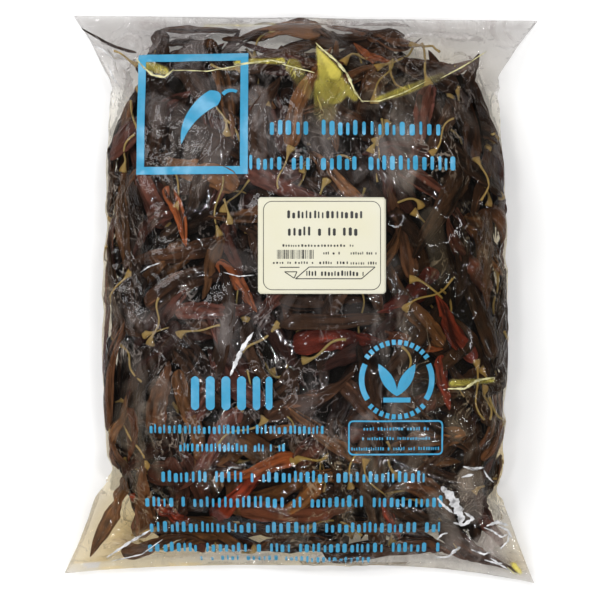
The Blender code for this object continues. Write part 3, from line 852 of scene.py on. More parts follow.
def doubled_film_sheen(points, kind):
    """How strongly doubled film shows its painted sheen: in each strip its strength out to its half width,
    both of which change evenly along it, and 0 a little further out."""
    share = np.zeros(points.shape[:-1])
    for x0, y0, x1, y1, half, last_half, strength, last_strength in DOUBLED_FILM_SHEEN[kind]:
        start, way = np.array([x0, y0]) * MM, np.array([x1 - x0, y1 - y0]) * MM
        along = np.clip((points[..., :2] - start) @ way / (way @ way), 0, 1)
        off = np.linalg.norm(points[..., :2] - start - along[..., None] * way, axis=-1)
        wide = (half + (last_half - half) * along) * MM
        strong = strength + (last_strength - strength) * along
        share = np.maximum(share, strong * (1 - ramp(off - wide, -0.8 * MM, 0.8 * MM)))
    return share * (points[..., 2] > SEAM_HEIGHT / 2)


def fold_lines(points):
    """Long sharp folds pulled up in the film: a tent over each line, as high as the fold, that fades at its
    ends."""
    x, y = points[..., 0], points[..., 1]
    height = np.zeros_like(x)
    for x0, y0, x1, y1, tall, reach in FOLDS:
        start, end = np.array([x0, y0]) * MM, np.array([x1, y1]) * MM
        length = np.linalg.norm(end - start)
        way = (end - start) / length
        along = ((x - start[0]) * way[0] + (y - start[1]) * way[1]) / length
        off = (x - start[0]) * way[1] - (y - start[1]) * way[0]
        off = off + 1.5 * MM * np.sin(along * 7 + x0)
        tent = 1 - ramp(np.abs(off), 0, reach * MM)
        height += tall * MM * tent * np.sqrt(np.clip(4 * along * (1 - along), 0, 1))
    return height * (points[..., 2] > SEAM_HEIGHT)


@functools.lru_cache
def film_heights():
    """How far the film stands outside the smooth bag, over the chart: drawn over the pile, lifted in long
    folds, and crumpled, most where it is slack."""
    grid, pile = chart(), settled_pile()
    flat = on_label(grid.points, LABEL_MARGIN)
    lowest = np.maximum(pile.top + SKIN_CLEAR, -0.42 * grid.room)
    lowest = lowest * (1 - flat)
    tight = relaxed(np.maximum(0, lowest), lowest, SUCTION, SKIN_ROUNDS)
    s, y = np.broadcast_arrays(grid.signed_u[None, :] * grid.around, grid.y[:, None])
    gap = ramp(tight - lowest, 0.2 * MM, 3 * MM)
    filled = ramp(grid.room, 4 * MM, 22 * MM)
    x = grid.points[..., 0]
    slack = sum(blob(x, y, spot) for spot in SLACK_SPOTS)
    big = creases(s, y, 3, 9, 26 * MM, 70 * MM)
    small = creases(s, y, 4, 10, 8 * MM, 24 * MM)
    crumple = (BIG_CRUMPLES[0] + BIG_CRUMPLES[1] * gap + BIG_CRUMPLES[2] * slack) * big
    crumple += (SMALL_CRUMPLES[0] + SMALL_CRUMPLES[1] * gap + SMALL_CRUMPLES[2] * slack) * small
    return tight + (np.maximum(crumple, -0.6 * MM) * filled + fold_lines(grid.points)) * (1 - flat)


def film_columns():
    """u of the film's columns: close together over the front, further apart over the back."""
    front = np.linspace(-FRONT_EDGE_U, FRONT_EDGE_U, FILM_FRONT_COLUMNS, endpoint=False)
    back = np.linspace(FRONT_EDGE_U, 1 - FRONT_EDGE_U, FILM_BACK_COLUMNS, endpoint=False)
    return np.concatenate([front, back])


@functools.lru_cache
def film_grid():
    """Points and outward directions of the film's own mesh, rows by columns. In the flat ears both layers
    wave together, up and down."""
    grid = chart()
    u = film_columns()[None, :]
    y = np.linspace(BOTTOM_Y, TOP_Y, FILM_ROWS + 1)[:, None]
    u, y = np.broadcast_arrays(u, y)
    points, outward = grid.place(u, y, grid.look_up(film_heights(), u, y))
    loose = 1 - ramp(grid.look_up(grid.room, u, y), 1.5 * MM, 16 * MM)
    wave = creases(points[..., 0], points[..., 1], 8, 7, 18 * MM, 60 * MM)
    points[..., 2] += loose * (EAR_WAVE * wave)
    points[..., 2] = np.maximum(points[..., 2], LOWEST / 2)
    return points, outward, loose


def on_film(x, y, lift):
    """Points on the front film's own mesh, lift above it, at places in plan. Newton steps find the column,
    because the chillies push the film sideways a little."""
    points, outward, _ = film_grid()
    u, v = chart().front_u(x, y), (y - BOTTOM_Y) / (TOP_Y - BOTTOM_Y)

    def read(table):
        column = (u + FRONT_EDGE_U) / (2 * FRONT_EDGE_U) * FILM_FRONT_COLUMNS
        column = np.clip(column, 0, FILM_FRONT_COLUMNS - 0.001)
        return between_cells(table, np.clip(v, 0, 1) * FILM_ROWS, column)

    for _ in range(8):
        here = read(points)
        u = np.clip(u + (x - here[..., 0]) / chart().around, -FRONT_LIMIT, FRONT_LIMIT)
        v = v + (y - here[..., 1]) / (TOP_Y - BOTTOM_Y)
    return read(points) + read(outward) * lift


# Meshes from arrays.


def piece_from(name, vertices, corners, corner_counts, uvs=None, values=None):
    """One object from flat arrays: points, the corner list of its faces and how many corners each face
    has."""
    mesh = bpy.data.meshes.new(name)
    mesh.vertices.add(len(vertices))
    mesh.vertices.foreach_set("co", np.ascontiguousarray(vertices, np.float32).ravel())
    mesh.loops.add(len(corners))
    mesh.loops.foreach_set("vertex_index", np.ascontiguousarray(corners, np.int32))
    mesh.polygons.add(len(corner_counts))
    starts = np.concatenate([[0], np.cumsum(corner_counts)[:-1]]).astype(np.int32)
    mesh.polygons.foreach_set("loop_start", starts)
    mesh.polygons.foreach_set("loop_total", np.ascontiguousarray(corner_counts, np.int32))
    mesh.polygons.foreach_set("use_smooth", np.ones(len(corner_counts), bool))
    mesh.update(calc_edges=True)
    if uvs is not None:
        mesh.uv_layers.new(name="UVMap").data.foreach_set("uv", np.ascontiguousarray(uvs, np.float32).ravel())
    for key, value in (values or {}).items():
        layer = mesh.attributes.new(key, "FLOAT", "POINT")
        layer.data.foreach_set("value", np.ascontiguousarray(value, np.float32))
    mesh.validate()
    obj = bpy.data.objects.new(name, mesh)
    bpy.context.scene.collection.objects.link(obj)
    return obj


def sheet_corners(rows, columns, closed):
    """Corner list and UVs of a grid of quads, rows by columns, closed round its columns or open."""
    last = columns if closed else columns - 1
    r, c = np.meshgrid(np.arange(rows - 1), np.arange(last), indexing="ij")
    d = (c + 1) % columns
    low, high = r * columns, (r + 1) * columns
    corners = np.stack([low + c, low + d, high + d, high + c], axis=-1)
    across = np.stack([c, c + 1, c + 1, c], axis=-1) / last
    along = np.stack([r, r, r + 1, r + 1], axis=-1) / (rows - 1)
    return corners.reshape(-1, 4), np.stack([across, along], axis=-1).reshape(-1, 4, 2)


def tubes_piece(name, batches):
    """Many closed tubes in one mesh. Each batch is its points over tube, station and way round, and named
    values at those points."""
    vertices, corner_lists, count_lists, uv_lists, values, start = [], [], [], [], {}, 0
    for points, tube_values in batches:
        tubes, stations, around = points.shape[:3]
        corners, uvs = sheet_corners(stations, around, True)
        caps = np.stack([np.arange(around)[::-1], (stations - 1) * around + np.arange(around)])
        first = start + np.arange(tubes)[:, None] * stations * around
        one = np.concatenate([corners.ravel(), caps.ravel()])
        corner_lists.append((first + one[None, :]).ravel())
        count_lists.append(np.tile(np.concatenate([np.full(len(corners), 4), [around, around]]), tubes))
        cap_uvs = np.concatenate([np.tile([0.5, 0.0], (around, 1)), np.tile([0.5, 1.0], (around, 1))])
        uv_lists.append(np.tile(np.concatenate([uvs.reshape(-1, 2), cap_uvs]), (tubes, 1)))
        for key, value in tube_values.items():
            values.setdefault(key, []).append(value.ravel())
        vertices.append(points.reshape(-1, 3))
        start += tubes * stations * around
    return piece_from(
        name, np.concatenate(vertices), np.concatenate(corner_lists), np.concatenate(count_lists),
        np.concatenate(uv_lists), {key: np.concatenate(parts) for key, parts in values.items()})


def spread_stations(count):
    """Stations from 0 to 1, closer together at both ends, where a pod closes."""
    even = np.linspace(0, 1, count)
    return 0.55 * even + 0.225 * (1 - np.cos(math.pi * even))


def path_frames(u, y, height):
    """Points of many lines on the chart with their directions: along, outwards and sideways."""
    points, outward = chart().place(u, y, height)
    along = np.gradient(points, axis=1)
    along /= np.maximum(np.linalg.norm(along, axis=2, keepdims=True), 1e-12)
    outward = outward - along * np.sum(outward * along, axis=2, keepdims=True)
    outward /= np.maximum(np.linalg.norm(outward, axis=2, keepdims=True), 1e-12)
    return points, along, outward, np.cross(outward, along)


def read_along(chillies, t):
    """Each chilli's settled u, y and height, read at the shares t."""
    lines = [(*c["path"][:3], c["height"]) for c in chillies]
    return (np.array([np.interp(t, each[0], each[k]) for each in lines]) for k in (1, 2, 3))


def round_path(centre, side, outward, x, z):
    """Points x to the side of each path and z outwards from it, but none under the bag."""
    points = centre[:, :, None] + side[:, :, None] * x[..., None] + outward[:, :, None] * z[..., None]
    points[..., 2] = np.maximum(points[..., 2], LOWEST)
    return points


def column_of(chillies, key):
    return np.array([c[key] for c in chillies])[:, None]


def detail_of(chilli):
    """Chillies that show well from the front get a finer mesh."""
    return "near" if chilli["shown"] > NEAR_SHOWN and abs(signed(chilli["u"])) < NEAR_U else "far"


def pod_points(chillies, detail):
    """Dried pods: a flat oval carried along each settled line. Its wall sinks between five sharp ridges and
    eight fine ones, which drift round the pod as they run, and in one deep collapsed crease."""
    stations, around = POD_STATIONS[detail], POD_AROUND[detail]
    t = spread_stations(stations)
    u, y, height = read_along(chillies, t)
    centre, _, outward, side = path_frames(u, y, height)
    half = pod_half_width(t[None, :], column_of(chillies, "width"))
    closing = np.minimum(np.minimum(t / 0.02, (1 - t) / 0.015), 1) * 0.85 + 0.15
    half = half * closing[None, :]
    thick = np.array([np.interp(t, c["path"][0], c["thick_along"]) for c in chillies])
    thick = thick * closing[None, :]
    phi = np.arange(around) / around * TAU
    folds = np.array([c["folds"] for c in chillies])[:, :, None, None]
    p, q = phi[None, None, :], t[None, :, None]
    drift = 1.5 * np.sin(3.1 * q + folds[:, 0]) + 0.5 * np.sin(8 * q + folds[:, 7])
    deep = np.abs(np.sin(2.5 * p + drift + folds[:, 1])) ** 0.8
    shallow = np.abs(np.sin(4 * p - 1.4 * drift + folds[:, 2] + 3 * q)) ** 0.8
    crease_at = folds[:, 4] + 0.9 * np.sin(3 * q + folds[:, 5])
    crease = np.exp(-(((np.sin((p - crease_at) / 2)) / 0.24) ** 2))
    pinch = 0.5 + 0.5 * np.sin(9 * q + folds[:, 3]) * np.sin(4.3 * q + folds[:, 6])
    wrinkles = 0.05 * np.sin(26 * q + 3 * np.sin(p + folds[:, 6])) * np.sin(2 * p + folds[:, 7] + 6 * q)
    wall = 1.0 - (0.2 + 0.12 * pinch) * deep - 0.1 * shallow
    wall = wall - 0.34 * crease * np.sin(math.pi * q) ** 0.6 + wrinkles
    roll = column_of(chillies, "roll")[:, :, None] + column_of(chillies, "twist")[:, :, None] * (q - 0.5)
    x = half[..., None] * wall * np.cos(p)
    z = thick[..., None] * (1 - RELIEF * (1 - wall)) * np.sin(p)
    turned_x = x * np.cos(roll) - z * np.sin(roll)
    turned_z = x * np.sin(roll) + z * np.cos(roll)
    limit = thick[..., None] * 1.02
    turned_z = np.clip(turned_z, -limit, limit)
    points = round_path(centre, side, outward, turned_x, turned_z)
    # The ridge and depth values feed the skin's painted shade and painted highlight.
    shade = np.broadcast_to(ramp(-height, SHADE_START, SHADE_DEPTH)[:, :, None], wall.shape)
    return points, {"ridge": ramp(wall, 0.45, 1.0), "shade": shade}


def stem_points(chillies):
    """Stems: a round tube that is a five-lobed cup over the pod's shoulder, thin in the middle and thicker
    at its cut end. It starts a little inside the shoulder."""
    t = np.linspace(0, 1, STEM_STATIONS) ** 1.25
    u, y, height = read_along(chillies, t)
    centre, along, outward, side = path_frames(u, y, height)
    radius = column_of(chillies, "stem_radius")
    size, flatness, near = stem_profile(
        t[None, :], column_of(chillies, "stem"), radius, column_of(chillies, "width"))
    centre = centre - along * (1.2 * MM) * near[..., None]
    phi = np.arange(STEM_AROUND) / STEM_AROUND * TAU
    lobes = 1 + 0.16 * near[..., None] * np.cos(5 * phi + 20 * radius[..., None] / MM)
    x = size[..., None] * lobes * np.cos(phi)
    z = size[..., None] * lobes * np.sin(phi) * flatness[..., None]
    return round_path(centre, side, outward, x, z)


def core_points():
    """The dark middle of the heap, a sheet that stands for the deeper chillies with their shade painted in:
    the smooth bag moved in to the pile's floor. Where that would reach into flat film, its plan stops short
    of the filling's edge and the side stands upright."""
    grid, pile = chart(), settled_pile()
    points = grid.points + grid.normals * (pile.base * 1.02 - 0.3 * MM)[..., None]
    rows = (grid.y > FILL_BOTTOM + CORE_END_INSET) & (grid.y < FILL_TOP - CORE_END_INSET)
    points = points[rows][::3, ::3]
    y = points[..., 1]
    reach = {"left": fill_half(y, -1.0) - CORE_INSET, "right": fill_half(y, 1.0) - CORE_INSET}
    points[..., 0] = CENTRE_X + np.clip(points[..., 0] - CENTRE_X, -reach["left"], reach["right"])
    points[..., 2] = np.maximum(points[..., 2], 2 * MM)
    return points


# Flat shapes that are laid on the film and the label.


def ribbon(path, half_widths, lanes):
    """A strip along a path in plan: the path moved sideways by each lane's share of the half width."""
    along = np.gradient(path, axis=0)
    along /= np.maximum(np.linalg.norm(along, axis=1, keepdims=True), 1e-12)
    left = np.stack([-along[:, 1], along[:, 0]], axis=1)
    share = np.linspace(-1, 1, lanes)[None, :, None]
    return (path[:, None] + left[:, None] * share * np.asarray(half_widths)[:, None, None]).transpose(1, 0, 2)


def even_ribbon(path, half, lanes):
    return ribbon(path, np.full(len(path), half), lanes)


def line(start, end, step=1.3 * MM):
    """Points from start to end, about a step apart."""
    start, end = np.array(start, float), np.array(end, float)
    count = max(int(np.linalg.norm(end - start) / step) + 1, 3)
    return start + (end - start) * np.linspace(0, 1, count)[:, None]


def arc(centre, radius, start, end, step=1.3 * MM):
    """Points of a circle's arc, by its angles in degrees."""
    count = max(int(abs(math.radians(end - start)) * radius / step) + 1, 5)
    angle = np.radians(np.linspace(start, end, count))
    return np.array(centre) + radius * np.stack([np.cos(angle), np.sin(angle)], axis=1)


def round_box(centre, size, corner, step=1.3 * MM):
    """Closed outline of a rectangle with round corners: four lines joined by quarter circles."""
    half = np.array(size) / 2 - corner
    parts = []
    for k, (sx, sy) in enumerate(((1, 1), (-1, 1), (-1, -1), (1, -1))):
        middle = np.array(centre) + half * (sx, sy)
        parts.append(arc(middle, corner, 90 * k, 90 * k + 90, step))
    outline = []
    for here, after in zip(parts, parts[1:] + parts[:1]):
        outline += [here, line(here[-1], after[0], step)[1:-1]]
    outline = np.concatenate(outline)
    return np.concatenate([outline, outline[:1]])


def bar(left, right, y, height):
    """A word as one block with rounded ends: a strip whose half width follows a circle near both ends."""
    path = line((left, y), (right, y), 0.9 * MM)
    end = np.minimum(path[:, 0] - left, right - path[:, 0])
    round_end = height / 3
    half = height / 2 * (0.75 + 0.25 * np.sqrt(np.clip(1 - (1 - end / round_end).clip(0) ** 2, 0, 1)))
    return ribbon(path, half, max(int(height / (1.1 * MM)) + 1, 3))


def letter_row(left, right, y, height, draw, letters):
    """A line of print as blocks of several widths and slightly different heights, with a wider gap here and
    there."""
    widths = draw.uniform(0.35, 0.75, letters)
    gaps = draw.uniform(0.4, 0.7, letters - 1) + 1.1 * (draw.uniform(0, 1, letters - 1) > 0.88)
    unit = (right - left) / (widths.sum() + gaps.sum())
    widths, gaps = widths * unit, gaps * unit
    starts = left + np.concatenate([[0], np.cumsum(widths[:-1] + gaps)])
    talls = height * draw.uniform(0.72, 1.05, letters)
    return [
        bar(start, start + width, y + (tall - height) / 2, tall)
        for start, width, tall in zip(starts, widths, talls)]


def sheets_piece(name, sheets, surface, lift):
    """Flat sheets in plan, joined in one mesh and laid on a surface, lift above it. lift is one number, or
    one for each point."""
    corner_lists, uv_lists, start = [], [], 0
    for sheet in sheets:
        rows, columns = sheet.shape[:2]
        corners, uvs = sheet_corners(rows, columns, False)
        corner_lists.append(corners.ravel() + start)
        uv_lists.append(uvs.reshape(-1, 2))
        start += rows * columns
    plan = np.concatenate([sheet.reshape(-1, 2) for sheet in sheets])
    corners = np.concatenate(corner_lists)
    points = surface(plan[:, 0], plan[:, 1], lift)
    return piece_from(name, points, corners, np.full(len(corners) // 4, 4), np.concatenate(uv_lists))


def label_surface(x, y, lift):
    """The label's face: the smooth bag's front, lift above the film that it is stuck to."""
    points = chart().look_up(chart().points, chart().front_u(x, y), y)
    points[..., 0], points[..., 1] = x, y
    points[..., 2] += lift
    return points


def tent(half, knots):
    """A painted highlight along a fold in the film, in plan: three lanes along a smooth path. It narrows to
    nothing at both ends and is a little uneven between, by two sines."""
    knots = np.array(knots, float) * MM
    knot_t = np.concatenate([[0], np.cumsum(np.linalg.norm(np.diff(knots, axis=0), axis=1))])
    t = np.linspace(0, knot_t[-1], max(int(knot_t[-1] / CREASE_STEP), 6))
    path = np.stack([np.interp(t, knot_t, knots[:, k]) for k in range(2)], axis=1)
    share = t / t[-1]
    width = half * MM * np.sqrt(np.clip(4 * share * (1 - share), 0.01, 1))
    return ribbon(path, width * (0.68 + 0.2 * np.sin(31 * share) + 0.12 * np.sin(77 * share)), 3)


def tents_piece(name, paths):
    """Painted highlights along folds in the film, whose middle lanes stand up."""
    tents = [tent(half, knots) for half, *knots in paths]
    lift = np.concatenate([np.repeat(CREASE_LIFTS, each.shape[1]) for each in tents])
    return sheets_piece(name, tents, on_film, lift[:, None])


# Shaders.


class Socket:
    """A shader socket that Python arithmetic works on: each operator adds one Math node."""

    def __init__(self, shader, socket):
        self.shader, self.socket = shader, socket

    def _math(self, operation, a, b):
        return self.shader.node("ShaderNodeMath", {"operation": operation}, {0: a, 1: b})

    def __add__(self, other):
        return self._math("ADD", self, other)

    def __sub__(self, other):
        return self._math("SUBTRACT", self, other)

    def __rsub__(self, other):
        return self._math("SUBTRACT", other, self)

    def __mul__(self, other):
        return self._math("MULTIPLY", self, other)

    def between(self, start, end, low=0.0, high=1.0):
        """low before start, high after end, and an S curve between."""
        return self.shader.node(
            "ShaderNodeMapRange", {"interpolation_type": "SMOOTHSTEP", "clamp": True},
            {"Value": self, "From Min": start, "From Max": end, "To Min": low, "To Max": high})


class Shader:
    """One material's nodes."""

    def __init__(self, name):
        self.material = bpy.data.materials.new(name)
        self.material.use_nodes = True
        self.tree = self.material.node_tree
        self.tree.nodes.clear()

    def node(self, kind, settings=None, inputs=None, output=0):
        """Adds a node, sets it, then fills its sockets with values or links."""
        node = self.tree.nodes.new(kind)
        for key, value in (settings or {}).items():
            setattr(node, key, value)
        for key, value in (inputs or {}).items():
            self.fill(node.inputs[key], value)
        return Socket(self, node.outputs[output])

    def fill(self, socket, value):
        """Links a socket or sets its value. A colour is made opaque."""
        if isinstance(value, Socket):
            self.tree.links.new(value.socket, socket)
        elif socket.type == "RGBA":
            socket.default_value = (*value[:3], 1.0)
        else:
            socket.default_value = value

    def coordinates(self):
        return self.node("ShaderNodeTexCoord", output="Object")

    def uv(self):
        return self.node("ShaderNodeTexCoord", output="UV")

    def value_of(self, attribute):
        return self.node("ShaderNodeAttribute", {"attribute_name": attribute}, output="Fac")

    def stretched(self, vector, scale):
        return self.node("ShaderNodeMapping", inputs={"Vector": vector, "Scale": scale})

    def noise(self, vector, scale, detail=3.0, roughness=0.55, distortion=0.0):
        return self.node("ShaderNodeTexNoise", inputs={
            "Vector": vector, "Scale": scale, "Detail": detail, "Roughness": roughness,
            "Distortion": distortion})

    def edges(self, vector, scale):
        """Distance to the nearest cell edge of a Voronoi pattern."""
        return self.node(
            "ShaderNodeTexVoronoi", {"feature": "DISTANCE_TO_EDGE"}, {"Vector": vector, "Scale": scale})

    def mixed(self, share, first, second):
        """A colour between two."""
        return self.node("ShaderNodeMix", {"data_type": "RGBA"}, {0: share, 6: first, 7: second}, 2)

    def blend(self, share, first, second):
        """A surface between two."""
        return self.node("ShaderNodeMixShader", inputs={0: share, 1: first, 2: second})

    def clear(self, colour):
        """A surface that lets light through, tinted."""
        return self.node("ShaderNodeBsdfTransparent", inputs={"Color": colour})

    def bump(self, height, distance, strength=1.0):
        return self.node(
            "ShaderNodeBump", inputs={"Height": height, "Distance": distance, "Strength": strength})

    def principled(self, inputs):
        return self.node("ShaderNodeBsdfPrincipled", inputs=inputs)

    def show(self, surface):
        output = self.tree.nodes.new("ShaderNodeOutputMaterial")
        self.tree.links.new(surface.socket, output.inputs["Surface"])
        return self.material


def scaled(colour, factor):
    return tuple(channel * factor for channel in colour)


def pod_material(name, colour, light_colour):
    """Leathery dried skin, mottled along the pod and paler on some pods than on others. Painted shade darkens
    its folds and deep pods, and a painted highlight makes its ridges redder and paler."""
    shader = Shader(name)
    place, uv = shader.coordinates(), shader.uv()
    tone, ridge, shade = shader.value_of("tone"), shader.value_of("ridge"), shader.value_of("shade")
    streaks = shader.noise(shader.stretched(uv, (5.0, 1.6, 1.0)), 2.0, 4.0, 0.62, 0.6)
    mottle = shader.noise(place, 120.0, 3.0, 0.6)
    blotches = shader.noise(place, 34.0, 2.0)
    share = (streaks * 0.5 + mottle * 0.4 + blotches * 0.5 + tone * 0.4 - 0.55).between(0.05, 0.8)
    base = shader.mixed(share, scaled(colour, 0.6), light_colour)
    # Painted shade: the folds darken towards a fifth of the pod's colour.
    raised = (ridge + (streaks - 0.5) * 0.5).between(0.12, 0.62)
    base = shader.mixed(raised, scaled(colour, 0.2), base)
    # Painted highlight: the crests of the ridges pale towards nearly twice the palest skin.
    crest = (ridge + (mottle - 0.5) * 0.8).between(0.72, 1.05)
    base = shader.mixed(crest * 0.55, base, scaled(light_colour, 1.9))
    # Painted shade: pods deep under the film darken towards a tenth of their colour.
    base = shader.mixed(shade * 0.8, base, scaled(colour, 0.1))
    wrinkle = shader.noise(shader.stretched(uv, (7.0, 3.0, 1.0)), 3.0, 4.0, 0.6, 0.8)
    normal = shader.bump(wrinkle + mottle * 0.35, 1.6 * MM, 0.8)
    rough = mottle.between(0.3, 0.7, 0.42, 0.62)
    surface = shader.principled({
        "Base Color": base, "Roughness": rough, "Normal": normal, "Specular IOR Level": 0.07})
    return shader.show(surface)


def stem_material(name, colour, cup_colour):
    """Dry stems: straw to olive, darker towards the cup, with lengthwise fibres."""
    shader = Shader(name)
    place, uv, tone = shader.coordinates(), shader.uv(), shader.value_of("tone")
    fibres = shader.noise(shader.stretched(uv, (7.0, 1.5, 1.0)), 3.0, 3.0)
    along = shader.node("ShaderNodeSeparateXYZ", inputs={"Vector": uv}, output="Y")
    cup = 1.0 - along.between(0.04, 0.42)
    base = shader.mixed(tone, colour, (colour[0] * 0.62, colour[1] * 0.66, colour[2] * 0.5))
    base = shader.mixed(cup * 0.75, base, cup_colour)
    base = shader.mixed(fibres.between(0.35, 0.7) * 0.4, base, scaled(colour, 0.35))
    spots = shader.noise(place, 300.0, 2.0).between(0.55, 0.7)
    base = shader.mixed(spots * 0.4, base, scaled(cup_colour, 0.5))
    surface = shader.principled({
        "Base Color": base, "Roughness": fibres.between(0.2, 0.8, 0.42, 0.7),
        "Normal": shader.bump(fibres, 0.4 * MM, 0.6), "Specular IOR Level": 0.2})
    return shader.show(surface)


def core_material(name, colour):
    """The dark between the chillies: painted shade, mottled."""
    shader = Shader(name)
    place = shader.coordinates()
    mottle = shader.noise(place, 60.0, 4.0)
    base = shader.mixed(mottle.between(0.4, 0.7), scaled(colour, 0.4), colour)
    surface = shader.principled({
        "Base Color": base, "Roughness": mottle.between(0.2, 0.8, 0.6, 0.9),
        "Normal": shader.bump(mottle, 4 * MM), "Specular IOR Level": 0.1})
    return shader.show(surface)


def film_material(name, film):
    """Clear film: what is behind it shows through a faint tint, and it mirrors the lights. Fine wrinkles
    break the gloss, loose flat film is greyer and some places are tan. A pale veil paints sheen over what is
    behind: in hazy patches, where the film is doubled, and as glints along fine wrinkles."""
    shader = Shader(name)
    place, loose, warm = shader.coordinates(), shader.value_of("loose"), shader.value_of("warm")
    yellow, grey = shader.value_of("yellow"), shader.value_of("grey")
    warp = shader.node("ShaderNodeVectorMath", {"operation": "SCALE"}, {
        0: shader.node("ShaderNodeTexNoise", inputs={"Vector": place, "Scale": 26.0}, output="Color"),
        "Scale": 0.022})
    warped = shader.node("ShaderNodeVectorMath", {"operation": "ADD"}, {0: place, 1: warp})
    patches = shader.noise(place, 13.0, 2.0)
    crumpled = shader.noise(place, 21.0, 2.0)
    lines = (1.0 - shader.edges(warped, 52.0).between(0.0, 0.09)) * crumpled.between(0.42, 0.58)
    fine = (1.0 - shader.edges(shader.stretched(warped, (1.0, 0.45, 1.0)), 120.0).between(0.0, 0.12))
    fine = fine * patches.between(0.4, 0.55)
    ripples = shader.noise(shader.stretched(warped, (1.0, 0.5, 1.0)), 75.0, 2.0, 0.5, 0.6)
    normal = shader.bump(lines * 0.7 + fine * 0.22 + ripples * 0.5, 1.1 * MM, 1.0)
    gloss = shader.principled({
        "Base Color": (0.985, 0.97, 0.99), "Metallic": 1.0, "Normal": normal,
        "Roughness": ripples.between(0.3, 0.75, 0.05, 0.12)})
    clear = shader.blend(loose, shader.clear(film.tint), shader.clear(film.loose_tint))
    clear = shader.blend(warm * 0.8, clear, shader.clear(film.warm_tint))
    rim = shader.node("ShaderNodeFresnel", inputs={"IOR": 1.5, "Normal": normal})
    mirror = shader.blend(rim.between(0.0, 1.0, 0.016, 0.4), clear, gloss)
    haze = shader.mixed(warm, film.sheen_haze_colour, film.tan_colour)
    # Painted reflection: the veil turns yellow where the doubled film shines yellow.
    veil_colour = shader.mixed(yellow.between(0.0, 0.3), haze, film.yellow_reflection_colour)
    veil = shader.principled({
        "Base Color": veil_colour, "Roughness": 0.4, "Normal": normal, "Specular IOR Level": 0.3})
    streaks = shader.noise(shader.stretched(warped, (1.0, 0.4, 1.0)), 40.0, 4.0, 0.6, 1.2)
    # Painted sheen: mauve-grey patches of veil, fewer where the film looks tan.
    sheen_patches = patches.between(0.42, 0.62) * streaks.between(0.46, 0.68) * (1.0 - warm * warm * 0.95)
    # Painted sheen: doubled film veils what is behind, grey or yellow.
    doubled = (grey * 0.3 + yellow * 0.85) * streaks.between(0.3, 0.6, 0.45, 1.0)
    # Painted glints: pale squiggly lines along fine wrinkles, where the film is tight.
    squiggle = shader.noise(shader.stretched(warped, (1.0, 0.6, 1.0)), 62.0, 3.0, 0.6, 1.0) - 0.5
    wrinkles = (1.0 - (squiggle * squiggle).between(0.0, 0.00024)) * crumpled.between(0.44, 0.58)
    veiled = sheen_patches * film.haze + loose * 0.05 + doubled + wrinkles * (1.0 - loose) * film.wrinkles
    return shader.show(shader.blend(veiled, mirror, veil))


def fold_highlight_material(name, colour):
    """Film folded on itself along a line: a thin bright edge of painted highlight over several layers."""
    shader = Shader(name)
    place = shader.coordinates()
    uneven = shader.noise(place, 160.0, 3.0)
    layers = shader.principled({
        "Base Color": shader.mixed(uneven.between(0.35, 0.7), scaled(colour, 0.6), colour),
        "Roughness": uneven.between(0.2, 0.8, 0.1, 0.25), "Normal": shader.bump(uneven, 0.3 * MM)})
    clear = shader.clear((0.97, 0.97, 0.97))
    return shader.show(shader.blend(uneven.between(0.28, 0.48, 0.35, 1.0), clear, layers))


def ink_material(name, colour, wear):
    """Printing ink: one colour, a little thin and uneven."""
    shader = Shader(name)
    place = shader.coordinates()
    uneven = shader.noise(place, 240.0, 3.0)
    base = shader.mixed(uneven.between(0.35, 0.8) * wear, colour, scaled(colour, 0.7))
    surface = shader.principled({
        "Base Color": base, "Roughness": uneven.between(0.2, 0.8, 0.28, 0.45),
        "Normal": shader.bump(uneven, 0.05 * MM, 0.5)})
    return shader.show(surface)


def paper_material(name, colour):
    """Semi-gloss label paper: fine fibres, faint yellowing and a soft sheen."""
    shader = Shader(name)
    place = shader.coordinates()
    fibres = shader.noise(place, 1500.0, 4.0)
    yellowed = shader.noise(place, 22.0, 2.0)
    aged = (colour[0] * 0.98, colour[1] * 0.97, colour[2] * 0.9)
    base = shader.mixed(yellowed.between(0.35, 0.75), colour, aged)
    surface = shader.principled({
        "Base Color": base, "Roughness": fibres.between(0.3, 0.7, 0.34, 0.46),
        "Normal": shader.bump(fibres, 0.03 * MM, 0.6)})
    return shader.show(surface)


def floor_material(name, colour):
    shader = Shader(name)
    surface = shader.principled({
        "Base Color": colour, "Roughness": 0.85, "Emission Color": colour,
        "Emission Strength": FLOOR_GLOW})
    return shader.show(surface)


def dressed(piece, material, replaces=()):
    """Gives a piece its material and its body."""
    piece.data.materials.append(material)
    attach(piece, BODY)
    if replaces:
        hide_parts(*replaces)


# What a user can change.


def colour_property(name, description, default):
    return bpy.props.FloatVectorProperty(name=name, description=description, subtype="COLOR", default=default)


class ChilliBagFilling(bpy.types.PropertyGroup):
    """The chillies in the bag."""

    dark: colour_property("Dark pods", "Colour of the darkest dried pods", (0.038, 0.0185, 0.0105))
    umber: colour_property("Umber pods", "Colour of the dark brown pods", (0.083, 0.037, 0.02))
    maroon: colour_property("Maroon pods", "Colour of the maroon pods", (0.09, 0.033, 0.0245))
    brown: colour_property("Brown pods", "Colour of the brown pods", (0.146, 0.066, 0.029))
    red: colour_property("Red pods", "Colour of the pods that kept their red", (0.2, 0.034, 0.02))
    orange: colour_property("Orange pods", "Colour of the palest, orange pods", (0.3, 0.085, 0.03))
    stem: colour_property("Stems", "Colour of the palest dry stems", (0.5, 0.36, 0.15))
    cup: colour_property("Stem cups", "Colour of the cup where a stem meets its pod", (0.34, 0.22, 0.065))
    # The depths colour is painted shade: a near-black sheet under the pile stands for the deeper chillies.
    core: colour_property("Depths", "Colour of the dark between the chillies", (0.01, 0.007, 0.004))


